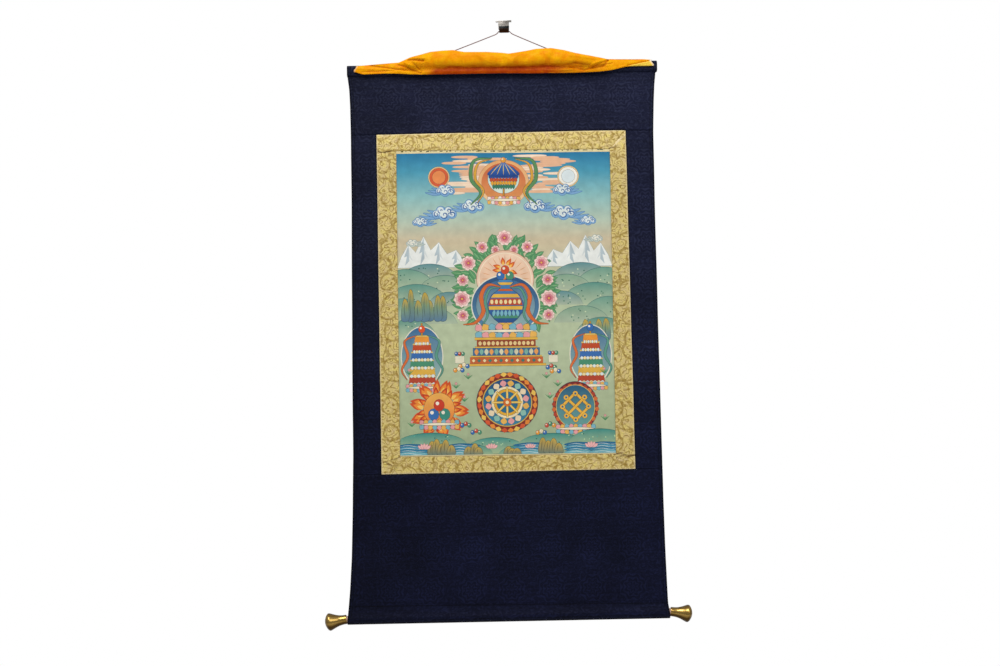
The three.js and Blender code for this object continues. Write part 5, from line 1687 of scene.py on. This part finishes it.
# %% Pull the cover's grid to its folds
COLUMNS = 360
SILK = 0.6
across = np.linspace(0, 1, COLUMNS)
front_counts = [5] + [6] * len(FRONT_PATH[1:])
counts = front_counts + [5] * len(GATE_PATH) + [8] * TAIL_ROWS
cover_points = finer_rows(cover_rows(across), counts)
front_rows = sum(front_counts)
front = cover_points[:front_rows]
front_x, front_z = front[:, :, 0], front[:, :, 2]
row = np.arange(front_rows)[:, None]
edge = smooth(0, 4, row) * smooth(front_rows - 1, front_rows - 7, row)
full = smooth(-160, -120, front_x) * smooth(150, 90, front_x)
ripple = np.sin(front_x / 7.3 + 1.4 * np.sin(front_x / 19)) * np.sin(front_z / 6)
front[:, :, 1] += edge * (fold_depth(front_x, front_z, COVER_FOLDS) + 0.45 * full * ripple)
run = np.concatenate([np.zeros((1, COLUMNS)), np.cumsum(
    np.linalg.norm(np.diff(cover_points, axis=0), axis=2), axis=0)])
cover_uv = np.stack([np.broadcast_to(across * (SEWN_RIGHT - SEWN_LEFT), run.shape), run], axis=-1)
cover = sheet_from(cover_points, cover_uv, 0)
print("cover drawn as", len(cover_points), "rows of", COLUMNS, "points")

# %% [markdown]
# Thin silk takes its look from what light reaches it, so the cover's shape is read once more: how
# deep each point lies under a bulge, where a narrow crease runs, and where the edge is turned up
# are kept as three numbers on each point, for the painted shade and painted highlight in its
# colour. Then the sheet gets its thickness.

# %% Mark the cover's hollows and creases
HOLLOW_DEEP = (0.7, 9.0)
HOLLOW_FROM, HOLLOW_TO = (-176, -125), (150, 55)
NARROW = 4.5
TURNED_FROM, TURNED_LINE = (244, 256), ((244, 297), (-97, -87))


def on_front(values):
    """Numbers for the rows in front, with 0 for all the rows behind them."""
    return np.vstack([values, np.zeros((len(cover_points) - front_rows, COLUMNS))]).ravel()


# Light from above doesn't reach what lies under a bulge: how deep each point lies is kept on it,
# for a painted shade.
bulge = np.minimum.accumulate(front[::-1, :, 1], axis=0)[::-1]
slanted = front_x - 1.4 * (front_z + 105)
hollow = smooth(*HOLLOW_DEEP, front[:, :, 1] - bulge)
hollow *= smooth(*HOLLOW_FROM, slanted) * (0.3 + 0.7 * smooth(*HOLLOW_TO, slanted))
hollow *= 0.3 + 0.7 * smooth(0, 3, row)
hollow *= 1 - 0.6 * smooth(21, 29, row)
# Narrow creases get a painted shade too.
narrow = [fold for fold in COVER_FOLDS if fold[4] < NARROW]
crease_shade = smooth(0.35, 1.7, fold_depth(front_x, front_z, narrow))
# The turned-up edge at the right end gets a painted highlight.
turned_up = smooth(0.0, 1.2, np.interp(front_x, *TURNED_LINE) - front_z)
turned_up *= smooth(*TURNED_FROM, front_x)
mark(cover, "marks", on_front(hollow), on_front(turned_up), on_front(crease_shade))
apply_modifier(cover, "SOLIDIFY", thickness=SILK * MM, offset=0)
deepest = float((front[:, :, 1] - bulge).max())
print("deepest hollow under the cover's bulge:", round(deepest, 1), "mm")

# %% [markdown]
# Saffron silk is thin, dyed bright, and glows where the light falls on it. In the hollow under
# the bulge and in narrow creases the colour is painted a deep orange, a painted shade for the
# little light that gets there through or off more silk. Where the edge is turned up it is painted
# paler, a painted highlight, and the selvedges at both ends are paler. The weave shows as fine
# streaks both ways, and small crumples break up the light, in the bump and as painted light and
# shade in the colour.

# %% Dye the saffron silk, with painted shade and highlights
silk, node = new_material("saffron_silk")
thread = node("TexCoord", output="UV")
marks_of = node("Attribute", output="Vector", attribute_name="marks")
hollow_shade_of = node("SeparateXYZ", {0: marks_of}, output="X")
turned_of = node("SeparateXYZ", {0: marks_of}, output="Y")
# The silk's threads are drawn as streaks about 1 mm wide, because real ones are too fine to show.
warp_place = node("Mapping", {"Vector": thread, "Scale": (900.0, 60.0, 1.0)})
weft_place = node("Mapping", {"Vector": thread, "Scale": (60.0, 900.0, 1.0)})
warp = node("TexNoise", {"Vector": warp_place, "Scale": 1.0, "Detail": 3.0})
weft = node("TexNoise", {"Vector": weft_place, "Scale": 1.0, "Detail": 3.0})
threads = node("Math", {0: warp, 1: weft}, operation="ADD")
weave_and_crumple_light = node("MapRange", {"Value": threads, "From Min": 0.75, "From Max": 1.25})
crumple = node("TexNoise", {"Vector": thread, "Scale": 48.0, "Detail": 4.0})
# The crumples are also painted lighter and darker, a painted light and shade.
painted_crumple_light = node("MapRange", {"Value": crumple, "From Min": 0.38, "From Max": 0.62})
weave_and_crumple_light = node("MixRGB", {"Fac": 0.5, "Color1": weave_and_crumple_light, "Color2": painted_crumple_light})
bright = node("MixRGB", {"Fac": weave_and_crumple_light, "Color1": "#f48a00", "Color2": "#ffba08"})
# The deep orange is the painted shade in hollows and creases.
deep = node("MixRGB", {"Fac": weave_and_crumple_light, "Color1": "#982c00", "Color2": "#bc4e00"})
fleck_place = node("Mapping", {"Vector": thread, "Scale": (70.0, 190.0, 1.0)})
fleck = node("TexNoise", {"Vector": fleck_place, "Scale": 1.0, "Detail": 3.0})
fleck = node("MapRange", {"Value": fleck, "From Min": 0.36, "From Max": 0.64, "To Min": 0.92,
                          "To Max": 1.35})
hollow_shade_of = node("Math", {0: hollow_shade_of, 1: fleck}, operation="MULTIPLY", use_clamp=True)
crease_shade_of = node("SeparateXYZ", {0: marks_of}, output="Z")
crease_shade_of = node("Math", {0: crease_shade_of, 1: 0.6}, operation="MULTIPLY")
shaded = node("Math", {0: hollow_shade_of, 1: crease_shade_of}, operation="MAXIMUM")
saffron_with_painted_light = node("MixRGB", {"Fac": shaded, "Color1": bright, "Color2": deep})
# The turned-up edge is painted paler, a painted highlight.
saffron_with_painted_light = node("MixRGB", {"Fac": turned_of, "Color1": saffron_with_painted_light, "Color2": "#ffd650"})
across_of = node("SeparateXYZ", {0: thread}, output="X")
left_edge = node("MapRange", {"Value": across_of, "From Min": 0.003, "From Max": 0.0015,
                              "To Max": 0.5})
right_edge = node("MapRange", {"Value": across_of, "From Min": 0.5945, "From Max": 0.596})
selvedge = node("Math", {0: left_edge, 1: right_edge}, operation="MAXIMUM")
saffron_with_painted_light = node("MixRGB", {"Fac": selvedge, "Color1": saffron_with_painted_light, "Color2": "#ffe2b4"})
satin = node("MapRange", {"Value": weave_and_crumple_light, "To Min": 0.48, "To Max": 0.36})
silk_fine = node("Bump", {"Height": threads, "Strength": 0.25, "Distance": 0.2 * MM})
silk_bump = node("Bump", {"Height": crumple, "Strength": 0.9, "Distance": 3.0 * MM,
                          "Normal": silk_fine})
surface(silk, {"Base Color": saffron_with_painted_light, "Roughness": satin, "Normal": silk_bump,
               "Specular IOR Level": 0.05})
finish_piece(cover, "silk_cover", silk, "cover")

# %% [markdown]
# The photograph is taken against plain white, in soft light that comes from above and in front,
# so the scroll is a little darker towards its foot. The camera sees white, and everything else is
# lit by a sky that is bright above and dim below, and by two large lamps in front. The floor is
# pale, and a good way down, as under a picture on a wall.

# %% Light the scene
FLOOR_Z = -1.75
FLOOR_HALF = 2.4
deselect()
bpy.ops.mesh.primitive_plane_add(size=2 * FLOOR_HALF, location=(0, 0, FLOOR_Z))
floor = bpy.context.object
bpy.ops.object.transform_apply(location=True, rotation=False, scale=False)
floor_material, node = new_material("pale_floor")
floor_tone = node("TexNoise", {"Scale": 3.0, "Detail": 3.0})
floor_colour = node("MixRGB", {"Fac": floor_tone, "Color1": "#f2f2f0", "Color2": "#fafaf9"})
surface(floor_material, {"Base Color": floor_colour, "Roughness": 0.9})
floor.data.materials.append(floor_material)
floor.name = "floor"

world = bpy.data.worlds.new("studio")
bpy.context.scene.world = world
world.use_nodes = True
towards = add_node(world, "TexCoord", output="Generated")
upward = add_node(world, "SeparateXYZ", {0: towards}, output="Z")
sky = add_node(world, "MapRange", {"Value": upward, "From Min": -0.5, "From Max": 0.6,
                                   "To Min": 0.1, "To Max": 0.5})
seen = add_node(world, "LightPath", output="Is Camera Ray")
glow = add_node(world, "Mix", {"Factor": seen, "A": sky, "B": 1.0})
fill(world, world.node_tree.nodes["Background"], {"Color": (1, 1, 1, 1), "Strength": glow})
LIGHT_AIM = Vector((0, 0, -0.45))
LIGHTS = [
    # name, place, size and power
    ("key", (-0.5, -1.9, 1.5), 1.4, 44.0),
    ("fill", (1.5, -2.4, 0.6), 1.6, 14.0),
]
for name, place, size, power in LIGHTS:
    light = bpy.data.objects.new(name, bpy.data.lights.new(name, "AREA"))
    light.data.shape = "SQUARE"
    light.data.size = size
    light.data.energy = power
    light.location = place
    light.rotation_euler = (LIGHT_AIM - Vector(place)).to_track_quat("-Z", "Y").to_euler()
    bpy.context.scene.collection.objects.link(light)
bpy.context.scene.view_settings.view_transform = "Standard"
print("lights:", len(LIGHTS))

# %% [markdown]
# Last, nothing is left selected.

# %% Finish
deselect()
